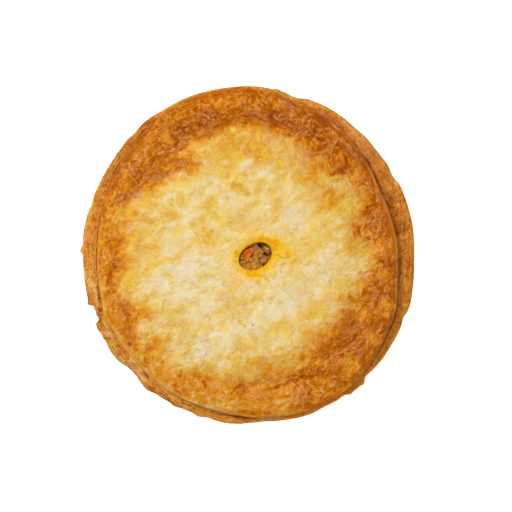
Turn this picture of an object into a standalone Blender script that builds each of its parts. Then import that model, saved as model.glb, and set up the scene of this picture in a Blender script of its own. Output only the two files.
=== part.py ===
"""A tourtiere: a round meat pie with a lower crust, a lid and minced filling, out of its tin.

The lower crust has a sloping side and a flat rim with a worn outline. The lid lies on that
rim and on the filling, puffed along its border, with an oval steam vent near its middle.
Mince and one piece of carrot show in the vent. Metres, +Z up, the foot at z = 0.
"""

import math
import random

import bmesh
import bpy
import numpy as np
from mathutils import Euler, Matrix, Vector

MM = 0.001

# The axis that the pie was turned about, from which its outlines are measured. The part's
# origin lies under the middle of the whole worn outline, a little to one side of that axis.
PIE_AXIS = Vector((1.07 * MM, -0.34 * MM, 0.0))
FIT_GAP = 0.3 * MM  # clearance that neighbouring solids keep

# Lower crust
RIM_RADIUS = 116.3 * MM
RIM_RINGS = tuple(radius * MM for radius in (100.5, 105.0, 110.0))  # across the rim's flat top
# The rim's rounded edge: (inward from its outline, below the seam)
RIM_EDGE = ((1.8 * MM, 0.7 * MM), (0.0, 2.2 * MM), (0.9 * MM, 4.5 * MM))
SHOULDER_RADIUS = 98.0 * MM  # where the side meets the rim
FOOT_RADIUS = 84.0 * MM
FOOT_ROUNDING = 4.0 * MM
SEAM_HEIGHT = 34.0 * MM  # top of the rim, where the lid lies
RIM_THICKNESS = 5.0 * MM
RIM_DROOP = 1.8 * MM  # how far the rim's outer edge hangs
WALL_THICKNESS = 4.5 * MM
FLOOR_THICKNESS = 4.0 * MM
CRUST_STEPS = 105

# Lid
LID_RADIUS = 107.0 * MM
LID_RINGS = 18
LID_STEPS = 124
LID_CENTRE_THICKNESS = 3.7 * MM
LID_BORDER_THICKNESS = 7.2 * MM
LID_EDGE_DROP = 3.0 * MM  # how much the border rounds down at its edge
LID_EDGE_ROUNDING = 6.5 * MM
LAYER_SPREAD = 0.9 * MM  # the edge's lower layers stick out this far
CROWN_RISE = 6.2 * MM  # the filling lifts the lid this far above the rim
CROWN_EDGE_RADIUS = 95.0 * MM
CROWN_RUN = 36.0 * MM
# Rings where the lid and the filling are both bent, so that they fit
CROWN_RINGS = tuple(radius * MM for radius in (96.0, 90.0, 81.0, 72.0, 62.0, 34.0))
PUFF_HEIGHT = 1.5 * MM
PUFF_INNER_RADIUS = 90.0 * MM
PUFF_WIDTH = 20.0 * MM

# Steam vent, an oval cut through the lid
VENT_CENTRE = (4.6 * MM, -0.5 * MM)
VENT_HALF_LENGTH = 12.1 * MM
VENT_HALF_WIDTH = 8.9 * MM
VENT_TILT = math.radians(28.0)
VENT_LIP = 1.1 * MM  # how far the lid dips at the vent
VENT_LIP_WIDTH = 4.0 * MM

# Filling
FILLING_STEPS = 72
VENT_RECESS = 2.4 * MM  # the filling has sunk this far under the vent
VENT_RECESS_RADIUS = 19.0 * MM
CRUMB_SPACING = 3.7 * MM
CRUMB_RADIUS = (1.7 * MM, 2.5 * MM)
CRUMB_SEED = 21

# Carrot dice
CARROT_SIZE = (7.4 * MM, 6.4 * MM, 5.4 * MM)
CARROT_PLACE = (0.9 * MM, 0.7 * MM, 37.3 * MM)
CARROT_TURN = (math.radians(6.0), math.radians(7.0), math.radians(40.0))

# Worn outlines. Each lobe is (angle, half width, outward), in degrees and millimetres.
RIM_LOBES = (
    (0, 13, -1.2), (17, 16, -0.5), (29, 5, -1.6), (38, 14, -1.2), (50, 6, -0.7), (63, 8, 0.4),
    (73.5, 5, -1.7), (80, 2, 0.8), (87, 11, 0.9), (92, 12, 0.5), (108, 26, 1.6), (127, 8, 1.1),
    (136.5, 4, 0.5), (153, 24, -1.1), (162, 4, -0.7), (178.3, 2, 1.6), (184, 15, -0.9),
    (197, 2, 1.2), (206, 5, 0.9), (216, 6, 1.2), (225, 6, -1.7), (232.5, 5, 1.2),
    (244, 3, 0.9), (252.5, 3, 1.3), (263, 11, 1.5), (276, 4, -0.2), (283, 8, 0.9),
    (291.5, 10, 2.2), (301.5, 7, 1.8), (306.3, 2, 1.2), (309, 6, 3.1), (312, 2, 1.6), (321, 15, 1.3),
    (333, 8, 0.6), (338, 2.5, -0.7), (343, 7, 1.0),
)
LID_LOBES = (
    (102, 62, 8.6), (298, 60, 8.2), (20, 42, -5.6), (352, 16, -2.0), (27, 8, -0.9),
    (178, 36, -2.6), (203, 7, 1.5), (243, 24, 1.5), (74, 6, -1.6), (279, 8, -0.9),
    (325, 16, -0.9),
)

# Pressed folds along the inside of the lid's border. Each is (angle, half width, radius,
# depth), in degrees and millimetres.
FOLDS = (
    (281, 24, 90.5, 1.7), (245, 14, 91.0, 1.0), (330, 20, 87.0, 1.3), (43, 12, 87.5, 1.6),
    (8, 14, 84.0, 0.9), (76, 18, 89.0, 1.0), (122, 26, 86.0, 1.1), (160, 16, 90.0, 0.8),
    (200, 20, 92.0, 1.0),
)

# A chip broken out of the rim
CHIP_ANGLE = math.radians(200.2)
CHIP_RADIUS = 6.6 * MM
CHIP_CENTRE_RADIUS = 118.3 * MM

# Soft relief
FIELD_SEED = 5
LATTICE = np.random.RandomState(FIELD_SEED).permutation(256)
BLISTER_SEED = 11
BLISTER_COUNT = 34

MATERIALS = {
    "lower_crust": ((0.52, 0.25, 0.07), 0.72),
    "lid_crust": ((0.80, 0.55, 0.20), 0.5),
    "meat": ((0.27, 0.14, 0.06), 0.45),
    "carrot": ((0.72, 0.17, 0.02), 0.4),
}


def smooth_step(share):
    """0 below 0, 1 above 1, and a smooth rise between."""
    share = np.clip(share, 0.0, 1.0)
    return share * share * (3.0 - 2.0 * share)


def lobe(degrees, centre, half_width):
    """A smooth hump of height 1 round a closed outline."""
    gap = (degrees - centre + 180.0) % 360.0 - 180.0
    hump = np.cos(np.pi * gap / (2.0 * half_width)) ** 2
    return np.where(np.abs(gap) < half_width, hump, 0.0)


def outline(radius, lobes, angle):
    """The radius of a worn round outline at each angle."""
    degrees = np.degrees(angle)
    return radius + MM * sum(out * lobe(degrees, at, half) for at, half, out in lobes)


def rim_edge(angle):
    return outline(RIM_RADIUS, RIM_LOBES, angle)


def lid_edge(angle):
    return outline(LID_RADIUS, LID_LOBES, angle)


def vent_share(x, y):
    """1 on the vent's outline, less inside it and more outside it."""
    along = (x - VENT_CENTRE[0]) * math.cos(VENT_TILT) + (y - VENT_CENTRE[1]) * math.sin(VENT_TILT)
    across = (y - VENT_CENTRE[1]) * math.cos(VENT_TILT) - (x - VENT_CENTRE[0]) * math.sin(VENT_TILT)
    return np.hypot(along / VENT_HALF_LENGTH, across / VENT_HALF_WIDTH)


def vent_point(angle):
    """The point of the vent's outline that lies at an angle from the vent's centre."""
    reach = 1.0 / vent_share(VENT_CENTRE[0] + np.cos(angle), VENT_CENTRE[1] + np.sin(angle))
    return VENT_CENTRE[0] + reach * np.cos(angle), VENT_CENTRE[1] + reach * np.sin(angle)


def field(x, y, size, layer):
    """Smooth gradient noise of about -1 to 1 whose lumps are about size across."""
    x, y = x / size, y / size
    column, row = np.floor(x).astype(int), np.floor(y).astype(int)
    u, v = x - column, y - row

    def corner(right, up):
        draw = LATTICE[(LATTICE[(column + right + 37 * layer) & 255] + row + up) & 255]
        slope = draw * (2.0 * np.pi / 256.0)
        return np.cos(slope) * (u - right) + np.sin(slope) * (v - up)

    across, upward = smooth_step(u), smooth_step(v)
    low = corner(0, 0) + across * (corner(1, 0) - corner(0, 0))
    high = corner(0, 1) + across * (corner(1, 1) - corner(0, 1))
    return 1.4 * (low + upward * (high - low))


def blisters():
    """Air blisters in the lid's border: (x, y, radius, height) of each."""
    draw = random.Random(BLISTER_SEED)
    found = []
    for number in range(BLISTER_COUNT):
        angle = 2.0 * math.pi * (number + draw.uniform(-0.35, 0.35)) / BLISTER_COUNT
        reach = float(lid_edge(angle)) - draw.uniform(7.0, 19.0) * MM
        size = draw.uniform(5.0, 9.0) * MM
        height = draw.uniform(0.5, 1.3) * MM
        found.append((reach * math.cos(angle), reach * math.sin(angle), size, height))
    return found


BLISTERS = blisters()


def lid_underside(reach):
    """Height of the lid's lower face at a distance from the pie's axis."""
    rise = smooth_step((CROWN_EDGE_RADIUS - reach) / CROWN_RUN)
    return SEAM_HEIGHT + FIT_GAP + CROWN_RISE * rise


def lid_top(x, y):
    """Height of the lid's upper face."""
    reach, angle = np.hypot(x, y), np.arctan2(y, x)
    inward = lid_edge(angle) - reach
    border = smooth_step((reach - 52.0 * MM) / (36.0 * MM))
    height = lid_underside(reach) + LID_CENTRE_THICKNESS
    height = height + border * (LID_BORDER_THICKNESS - LID_CENTRE_THICKNESS)
    across = np.clip((reach - PUFF_INNER_RADIUS) / PUFF_WIDTH, 0.0, 1.0)
    height = height + PUFF_HEIGHT * np.sin(np.pi * across) ** 0.8
    for at, half, radius, depth in FOLDS:
        valley = np.exp(-(((reach - radius * MM) / (3.2 * MM)) ** 2))
        height = height - depth * MM * valley * lobe(np.degrees(angle), at, half)
    for centre_x, centre_y, size, rise in BLISTERS:
        near = np.clip(1.0 - np.hypot(x - centre_x, y - centre_y) / size, 0.0, 1.0)
        height = height + rise * smooth_step(near)
    height = height + 0.7 * MM * field(x, y, 31.0 * MM, 1)
    height = height + 0.45 * MM * field(x, y, 14.0 * MM, 2)
    rounding = np.clip(1.0 - inward / LID_EDGE_ROUNDING, 0.0, 1.0)
    height = height - LID_EDGE_DROP * (1.0 - np.sqrt(1.0 - np.minimum(rounding, 1.0) ** 2))
    past_vent = (vent_share(x, y) - 1.0) * VENT_HALF_WIDTH
    return height - VENT_LIP * smooth_step(1.0 - past_vent / VENT_LIP_WIDTH)


def new_object(name, mesh, collection):
    obj = bpy.data.objects.new(name, mesh)
    collection.objects.link(obj)
    return obj


def apply_modifiers(obj):
    """Puts the evaluated mesh in place of the object's own and drops its modifiers."""
    graph = bpy.context.evaluated_depsgraph_get()
    mesh = bpy.data.meshes.new_from_object(obj.evaluated_get(graph))
    obj.modifiers.clear()
    obj.data = mesh
    return obj


def turned(name, profile, steps, collection, ring=False):
    """A solid turned about Z from (radius, height) points, which run outward over the top,
    down the outer side and back underneath. A ring's profile is closed."""
    mesh = bpy.data.meshes.new(name)
    edges = [(i, i + 1) for i in range(len(profile) - 1)]
    if ring:
        edges.append((len(profile) - 1, 0))
    mesh.from_pydata([(radius, 0.0, height) for radius, height in profile], edges, [])
    obj = new_object(name, mesh, collection)
    screw = obj.modifiers.new("Turn", "SCREW")
    screw.angle = 2.0 * math.pi
    screw.steps = screw.render_steps = steps
    screw.use_merge_vertices = True
    screw.merge_threshold = 0.01 * MM
    return apply_modifiers(obj)


def reshape(obj, move):
    """Moves each point of a mesh by move(x, y, z), which takes and returns arrays."""
    points = np.empty(len(obj.data.vertices) * 3)
    obj.data.vertices.foreach_get("co", points)
    moved = np.column_stack(move(*points.reshape(-1, 3).T))
    obj.data.vertices.foreach_set("co", moved.ravel())
    obj.data.update()


def boolean(obj, operation, other=None, others=None):
    """Cuts an object with another, or joins it to a collection of them."""
    modifier = obj.modifiers.new(operation.title(), "BOOLEAN")
    modifier.operation = operation
    modifier.solver = "EXACT"
    if others:
        modifier.operand_type = "COLLECTION"
        modifier.collection = others
    else:
        modifier.object = other
    return apply_modifiers(obj)


def material(name):
    colour, roughness = MATERIALS[name]
    made = bpy.data.materials.new(name)
    made.use_nodes = True
    shader = made.node_tree.nodes["Principled BSDF"]
    shader.inputs["Base Color"].default_value = (*colour, 1.0)
    shader.inputs["Roughness"].default_value = roughness
    shader.inputs["Metallic"].default_value = 0.0
    return made


def finish(obj, material_name):
    """Gives an object its material, smooth faces and its place in the part's frame."""
    obj.data.materials.clear()
    obj.data.materials.append(material(material_name))
    obj.data.transform(Matrix.Translation(PIE_AXIS))
    obj.data.shade_smooth()
    obj.data.set_sharp_from_angle(angle=math.radians(40.0))


def wall_section(offset):
    """(radius, height) points up the side, offset inward from its outer face."""
    slope = math.atan2(SHOULDER_RADIUS - FOOT_RADIUS, SEAM_HEIGHT - RIM_THICKNESS)
    shift = offset / math.cos(slope)
    low = max(FOOT_ROUNDING, offset)
    heights = np.linspace(low, SEAM_HEIGHT - RIM_THICKNESS, 5)
    return [(FOOT_RADIUS - shift + height * math.tan(slope), float(height)) for height in heights]


def make_lower_crust(parts, cutters):
    outer = wall_section(0.0)
    inner = wall_section(WALL_THICKNESS)
    under_rim = SEAM_HEIGHT - RIM_THICKNESS
    profile = [(0.0, FLOOR_THICKNESS), (inner[0][0] - 3.0 * MM, FLOOR_THICKNESS)]
    profile += [(inner[0][0], inner[0][1] + 1.5 * MM), *inner[1:]]
    profile += [(CROWN_EDGE_RADIUS + FIT_GAP, SEAM_HEIGHT)]
    profile += [(radius, SEAM_HEIGHT) for radius in RIM_RINGS]
    profile += [(RIM_RADIUS - inward, SEAM_HEIGHT - drop) for inward, drop in RIM_EDGE]
    profile += [(RIM_RINGS[-1], under_rim)]
    profile += [(SHOULDER_RADIUS + 3.5 * MM, under_rim), *reversed(outer)]
    profile += [(FOOT_RADIUS - FOOT_ROUNDING, 0.0), (0.0, 0.0)]
    crust = turned("lower_crust", profile, CRUST_STEPS, parts)

    def wear(x, y, z):
        reach, angle = np.hypot(x, y), np.arctan2(y, x)
        beyond = smooth_step((reach - 101.5 * MM) / (RIM_RADIUS - 101.5 * MM))
        new_reach = reach + beyond * (rim_edge(angle) - RIM_RADIUS)
        side = smooth_step((reach - 78.0 * MM) / (4.0 * MM)) * smooth_step(z / (8.0 * MM))
        outer_face = side * (1.0 - beyond) * (reach > wall_radius(z) - 0.4 * WALL_THICKNESS)
        around = angle * FOOT_RADIUS
        new_reach = new_reach + outer_face * 0.7 * MM * field(around, z, 17.0 * MM, 3)
        uncovered = smooth_step((new_reach - lid_edge(angle) - 1.5 * MM) / (3.0 * MM))
        wave = 0.8 * MM * field(new_reach * np.cos(angle), new_reach * np.sin(angle), 11.0 * MM, 4)
        droop = RIM_DROOP * beyond**2 + uncovered * beyond * wave
        share = np.where(reach > 0.0, new_reach / np.maximum(reach, 1e-9), 1.0)
        return x * share, y * share, z - droop

    reshape(crust, wear)
    bm = bmesh.new()
    bmesh.ops.create_cone(
        bm, cap_ends=True, segments=5, radius1=CHIP_RADIUS, radius2=CHIP_RADIUS, depth=20.0 * MM
    )
    mesh = bpy.data.meshes.new("rim_chip")
    bm.to_mesh(mesh)
    bm.free()
    chip = new_object("rim_chip", mesh, cutters)
    chip.location = (
        CHIP_CENTRE_RADIUS * math.cos(CHIP_ANGLE),
        CHIP_CENTRE_RADIUS * math.sin(CHIP_ANGLE),
        SEAM_HEIGHT,
    )
    chip.rotation_euler = (0.0, 0.0, CHIP_ANGLE + math.radians(14.0))
    chip.hide_render = True
    chip.display_type = "WIRE"
    bpy.context.view_layer.update()
    boolean(crust, "DIFFERENCE", other=chip)
    finish(crust, "lower_crust")


def wall_radius(height):
    """Outer radius of the crust's side at a height."""
    slope = (SHOULDER_RADIUS - FOOT_RADIUS) / (SEAM_HEIGHT - RIM_THICKNESS)
    return FOOT_RADIUS + slope * height


def make_lid(parts):
    """The lid starts as a flat ring whose height runs from 0 below to 1 above. It is then
    drawn out to its outlines and draped."""
    vent_radius = 0.5 * (VENT_HALF_LENGTH + VENT_HALF_WIDTH)
    width = LID_RADIUS - vent_radius
    shares = 1.0 - (1.0 - np.linspace(0.0, 1.0, LID_RINGS)) ** 1.25
    profile = [(vent_radius + 0.8 * MM + share * (width - 1.6 * MM), 1.0) for share in shares]
    profile += [(LID_RADIUS - 0.1 * MM, 0.72), (LID_RADIUS + 0.7 * LAYER_SPREAD, 0.36)]
    profile += [(LID_RADIUS + LAYER_SPREAD, 0.0)]
    profile += [(radius, 0.0) for radius in CROWN_RINGS]
    profile += [(vent_radius + 0.3 * MM, 0.0), (vent_radius, 0.55)]
    lid = turned("lid_crust", profile, LID_STEPS, parts, ring=True)

    def drape(x, y, z):
        reach, angle = np.hypot(x, y), np.arctan2(y, x)
        share = (reach - vent_radius) / width
        vent_x, vent_y = vent_point(angle)
        edge = lid_edge(angle)
        new_x = vent_x + share * (edge * np.cos(angle) - vent_x)
        new_y = vent_y + share * (edge * np.sin(angle) - vent_y)
        round_ring = (z < 0.01) & (reach > 0.99 * CROWN_RINGS[-1]) & (reach < 1.01 * CROWN_RINGS[0])
        new_x, new_y = np.where(round_ring, x, new_x), np.where(round_ring, y, new_y)
        low = lid_underside(np.hypot(new_x, new_y))
        return new_x, new_y, low + z * (lid_top(new_x, new_y) - low)

    reshape(lid, drape)
    finish(lid, "lid_crust")


def crumb_places():
    """Centres of the mince crumbs that show in the vent, on a jittered triangular grid."""
    draw = random.Random(CRUMB_SEED)
    cell_height = CRUMB_SPACING * math.sqrt(0.75)
    places = []
    for row in range(-4, 5):
        for column in range(-5, 6):
            x = VENT_CENTRE[0] + (column + 0.5 * (row % 2)) * CRUMB_SPACING
            y = VENT_CENTRE[1] + row * cell_height
            x += draw.uniform(-0.6, 0.6) * MM
            y += draw.uniform(-0.6, 0.6) * MM
            size = draw.uniform(*CRUMB_RADIUS)
            if vent_share(x, y) < 1.0 - (size + FIT_GAP) / VENT_HALF_WIDTH:
                places.append((x, y, size, draw.uniform(-0.5, 0.5) * MM))
    return places


def carrot_mesh(growth):
    """The carrot dice as a bevelled box, growth larger on each side."""
    bm = bmesh.new()
    bmesh.ops.create_cube(bm, size=1.0)
    size = [side + 2.0 * growth for side in CARROT_SIZE]
    bmesh.ops.scale(bm, vec=size, verts=bm.verts)
    bmesh.ops.bevel(
        bm, geom=bm.edges[:], offset=0.7 * MM, segments=1, profile=0.5, affect="EDGES"
    )
    turn = Euler(CARROT_TURN).to_matrix().to_4x4()
    bmesh.ops.transform(bm, matrix=Matrix.Translation(CARROT_PLACE) @ turn, verts=bm.verts)
    mesh = bpy.data.meshes.new("carrot")
    bm.to_mesh(mesh)
    bm.free()
    return mesh


def make_filling(parts, cutters):
    inner = wall_section(WALL_THICKNESS + FIT_GAP)
    inner_rings = [0.0, 9.0 * MM, 18.0 * MM, 26.0 * MM]
    profile = [(radius, SEAM_HEIGHT) for radius in (*inner_rings, *reversed(CROWN_RINGS[1:]))]
    profile += [(CROWN_EDGE_RADIUS - FIT_GAP, SEAM_HEIGHT), (inner[-1][0], inner[-1][1])]
    profile += [(inner[2][0], inner[2][1]), (inner[1][0], inner[1][1])]
    profile += [(inner[0][0] - 0.3 * MM, inner[0][1] + 1.8 * MM)]
    profile += [(inner[0][0] - 3.4 * MM, FLOOR_THICKNESS + FIT_GAP)]
    profile += [(0.0, FLOOR_THICKNESS + FIT_GAP)]
    filling = turned("meat_filling", profile, FILLING_STEPS, parts)

    def fill_crown(x, y, z):
        from_vent = np.hypot(x - VENT_CENTRE[0], y - VENT_CENTRE[1])
        recess = VENT_RECESS * smooth_step((VENT_RECESS_RADIUS - from_vent) / (9.0 * MM))
        top = lid_underside(np.hypot(x, y)) - FIT_GAP - recess
        return x, y, np.where(z > SEAM_HEIGHT - 0.01 * MM, top, z)

    reshape(filling, fill_crown)
    crumbs = bpy.data.collections.new("crumbs")
    bpy.context.scene.collection.children.link(crumbs)
    draw = random.Random(CRUMB_SEED + 1)
    floor = SEAM_HEIGHT + CROWN_RISE - VENT_RECESS
    for number, (x, y, size, lift) in enumerate(crumb_places()):
        bm = bmesh.new()
        bmesh.ops.create_icosphere(bm, subdivisions=2 if size > 2.1 * MM else 1, radius=size)
        turn = Euler([draw.uniform(0.0, math.tau) for _ in range(3)]).to_matrix().to_4x4()
        squash = Matrix.Diagonal((draw.uniform(0.85, 1.15), draw.uniform(0.85, 1.1), 0.8, 1.0))
        place = Matrix.Translation((x, y, floor + lift)) @ squash @ turn
        bmesh.ops.transform(bm, matrix=place, verts=bm.verts)
        mesh = bpy.data.meshes.new(f"crumb_{number}")
        bm.to_mesh(mesh)
        bm.free()
        new_object(f"crumb_{number}", mesh, crumbs)
    bpy.context.view_layer.update()
    boolean(filling, "UNION", others=crumbs)
    for obj in list(crumbs.objects):
        bpy.data.objects.remove(obj)
    bpy.data.collections.remove(crumbs)
    pocket = new_object("carrot_pocket", carrot_mesh(FIT_GAP), cutters)
    pocket.hide_render = True
    pocket.display_type = "WIRE"
    bpy.context.view_layer.update()
    boolean(filling, "DIFFERENCE", other=pocket)
    finish(filling, "meat")


def make_carrot(parts):
    carrot = new_object("carrot_dice", carrot_mesh(0.0), parts)
    finish(carrot, "carrot")


def main():
    for obj in list(bpy.data.objects):
        bpy.data.objects.remove(obj)
    parts = bpy.data.collections.new("tourtiere")
    cutters = bpy.data.collections.new("cutters")
    bpy.context.scene.collection.children.link(parts)
    bpy.context.scene.collection.children.link(cutters)
    make_lower_crust(parts, cutters)
    make_filling(parts, cutters)
    make_carrot(parts)
    make_lid(parts)


main()
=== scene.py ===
"""The looks of the tourtiere: a round meat pie seen from straight above.

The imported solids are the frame. Each is replaced by a finely modelled mesh of the same form:
the lid with its wrinkles, blisters and cracks, the lower crust with its flaky rim and chip,
and the mince and carrot in the steam vent. Shapes are worked out in millimetres from the
axis that the pie was turned about, and to_world() takes them to the frame's metres.
"""

import math
import random

import bmesh
import bpy
import numpy as np
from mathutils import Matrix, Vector


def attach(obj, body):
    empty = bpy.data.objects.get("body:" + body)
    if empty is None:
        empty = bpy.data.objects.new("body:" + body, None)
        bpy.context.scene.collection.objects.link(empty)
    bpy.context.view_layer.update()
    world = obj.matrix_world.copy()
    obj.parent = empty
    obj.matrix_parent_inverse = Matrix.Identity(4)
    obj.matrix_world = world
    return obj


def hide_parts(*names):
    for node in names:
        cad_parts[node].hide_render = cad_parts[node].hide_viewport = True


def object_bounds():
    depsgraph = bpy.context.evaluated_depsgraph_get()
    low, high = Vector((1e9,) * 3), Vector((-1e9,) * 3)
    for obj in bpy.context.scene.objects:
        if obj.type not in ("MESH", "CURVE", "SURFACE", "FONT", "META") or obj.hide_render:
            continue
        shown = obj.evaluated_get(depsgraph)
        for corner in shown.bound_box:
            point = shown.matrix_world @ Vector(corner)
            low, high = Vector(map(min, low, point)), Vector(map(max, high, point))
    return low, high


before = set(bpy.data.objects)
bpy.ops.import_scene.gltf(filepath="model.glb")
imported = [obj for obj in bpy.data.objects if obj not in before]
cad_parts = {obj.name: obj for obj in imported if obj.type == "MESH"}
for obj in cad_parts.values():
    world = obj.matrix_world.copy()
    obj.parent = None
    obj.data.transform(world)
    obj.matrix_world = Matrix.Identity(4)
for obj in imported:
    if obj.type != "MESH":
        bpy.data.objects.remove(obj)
CAD_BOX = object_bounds()

MM = 0.001
PIE_AXIS = (1.07, -0.34)  # where the turning axis stands in the frame

# Lower crust, as in the solids
RIM_RADIUS = 116.3
SHOULDER_RADIUS = 98.0
FOOT_RADIUS = 84.0
FOOT_ROUNDING = 4.0
SEAM_HEIGHT = 34.0
RIM_THICKNESS = 5.0
RIM_DROOP = 1.8
WALL_THICKNESS = 4.5
FLOOR_THICKNESS = 4.0
FIT_GAP = 0.3
BOX_MARGIN = 0.15  # the fine meshes stay this far inside the solids' outlines
RIM_UNDERSIDE = SEAM_HEIGHT - RIM_THICKNESS
WALL_SLOPE = (SHOULDER_RADIUS - FOOT_RADIUS) / RIM_UNDERSIDE

# Lid, as in the solids
LID_RADIUS = 107.0
LID_CENTRE_THICKNESS = 3.7
LID_BORDER_THICKNESS = 7.2
BORDER_START = 52.0  # from here the lid thickens towards its border
BORDER_RUN = 36.0
LID_EDGE_DROP = 3.0
LID_EDGE_ROUNDING = 6.5
LAYER_SPREAD = 0.9
CROWN_RISE = 6.2
CROWN_EDGE_RADIUS = 95.0
CROWN_RUN = 36.0
PUFF_HEIGHT = 1.5
PUFF_INNER_RADIUS = 90.0
PUFF_WIDTH = 20.0
FOLD_WIDTH = 3.2

# Steam vent
VENT_CENTRE = (4.6, -0.5)
VENT_HALF_LENGTH = 12.1
VENT_HALF_WIDTH = 8.9
VENT_TILT = math.radians(28.0)
VENT_LIP = 1.1
VENT_LIP_WIDTH = 4.0
VENT_RECESS = 2.4
VENT_RECESS_RADIUS = 19.0

# Carrot dice
CARROT_HEIGHT = 5.4
CARROT_PLACE = (0.9, 0.7, 37.3)
CARROT_SWELL = 0.2  # the fine dice is this much taller than the solid,
CARROT_LIFT = 0.4  # and stands this much higher
# The corners of its worn upper face, round from the left
CARROT_CORNERS = ((-4.0, 3.0), (-1.9, -3.7), (4.7, 2.3), (2.0, 5.5))
CARROT_STREAK = ((0.9, 0.6), (-1.1, -2.4))  # a brighter streak of its grain
CARROT_BLUSH = (2.2, 3.9)  # a paler corner

# Worn outlines. Each lobe is (angle in degrees, half width in degrees, outward).
RIM_LOBES = (
    (0, 13, -1.2), (17, 16, -0.5), (29, 5, -1.6), (38, 14, -1.2), (50, 6, -0.7), (63, 8, 0.4),
    (73.5, 5, -1.7), (80, 2, 0.8), (87, 11, 0.9), (92, 12, 0.5), (108, 26, 1.6), (127, 8, 1.1),
    (136.5, 4, 0.5), (153, 24, -1.1), (162, 4, -0.7), (178.3, 2, 1.6), (184, 15, -0.9),
    (197, 2, 1.2), (206, 5, 0.9), (216, 6, 1.2), (225, 6, -1.7), (232.5, 5, 1.2), (244, 3, 0.9),
    (252.5, 3, 1.3), (263, 11, 1.5), (276, 4, -0.2), (283, 8, 0.9), (291.5, 10, 2.2),
    (301.5, 7, 1.8), (306.3, 2, 1.2), (309, 6, 3.1), (312, 2, 1.6), (321, 15, 1.3), (333, 8, 0.6),
    (338, 2.5, -0.7), (343, 7, 1.0),
)
LID_LOBES = (
    (102, 62, 8.6), (298, 60, 8.2), (20, 42, -5.6), (352, 16, -2.0), (27, 8, -0.9),
    (178, 36, -2.6), (203, 7, 1.5), (243, 24, 1.5), (74, 6, -1.6), (279, 8, -0.9),
    (325, 16, -0.9),
)
# Pressed folds inside the lid's border: (angle, half width, radius, depth)
FOLDS = (
    (281, 24, 90.5, 1.7), (245, 14, 91.0, 1.0), (330, 20, 87.0, 1.3), (43, 12, 87.5, 1.6),
    (8, 14, 84.0, 0.9), (76, 18, 89.0, 1.0), (122, 26, 86.0, 1.1), (160, 16, 90.0, 0.8),
    (200, 20, 92.0, 1.0),
)
FIELD_SEED = 5
LATTICE = np.random.RandomState(FIELD_SEED).permutation(256)
BLISTER_SEED = 11
BLISTER_COUNT = 34

# Browning of the lid, 0 for unbaked to 1 for dark brown. The border browns across these
# (angle, radius) points, up to these (angle, browning) levels.
BROWN_EDGE = (
    (0, 85), (11, 74), (20, 81), (31, 87), (42, 81), (50, 76), (62, 84), (72, 87), (90, 89),
    (100, 87), (110, 85), (116, 83), (121, 72), (128, 75), (136, 78), (146, 80), (152, 86),
    (160, 93), (169, 90), (176, 86), (183, 82), (190, 88), (200, 89), (208, 81.5), (214, 93),
    (221, 87), (230, 96), (240, 91), (250, 87), (262, 85), (280, 80), (295, 80), (304, 76),
    (315, 74), (330, 74), (340, 77), (350, 83),
)
BROWN_RUN = 16.5  # width of the browning's rise
BORDER_BROWNING = (
    (0, 0.89), (30, 0.88), (45, 0.92), (58, 1.00), (78, 1.02), (92, 0.94), (103, 0.90),
    (114, 0.93), (126, 0.79), (138, 0.81), (150, 0.82), (162, 0.64), (174, 0.54), (186, 0.62),
    (198, 0.53), (210, 0.64), (226, 0.54), (246, 0.52), (262, 0.56), (280, 0.65), (300, 0.85),
    (318, 0.84), (330, 0.86), (342, 0.87), (354, 0.87),
)
# A golden zone lies inside the border: (angle, half width, browning)
GOLD_ZONE = (
    (88, 50, 0.22), (40, 34, 0.12), (8, 24, 0.06), (150, 50, 0.07), (300, 60, 0.02),
    (242, 30, -0.07), (270, 14, 0.06),
)
GOLD_BASE = 0.06
GOLD_START = 50.0
GOLD_RUN = 20.0
MIDDLE_BROWNING = 0.165
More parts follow.
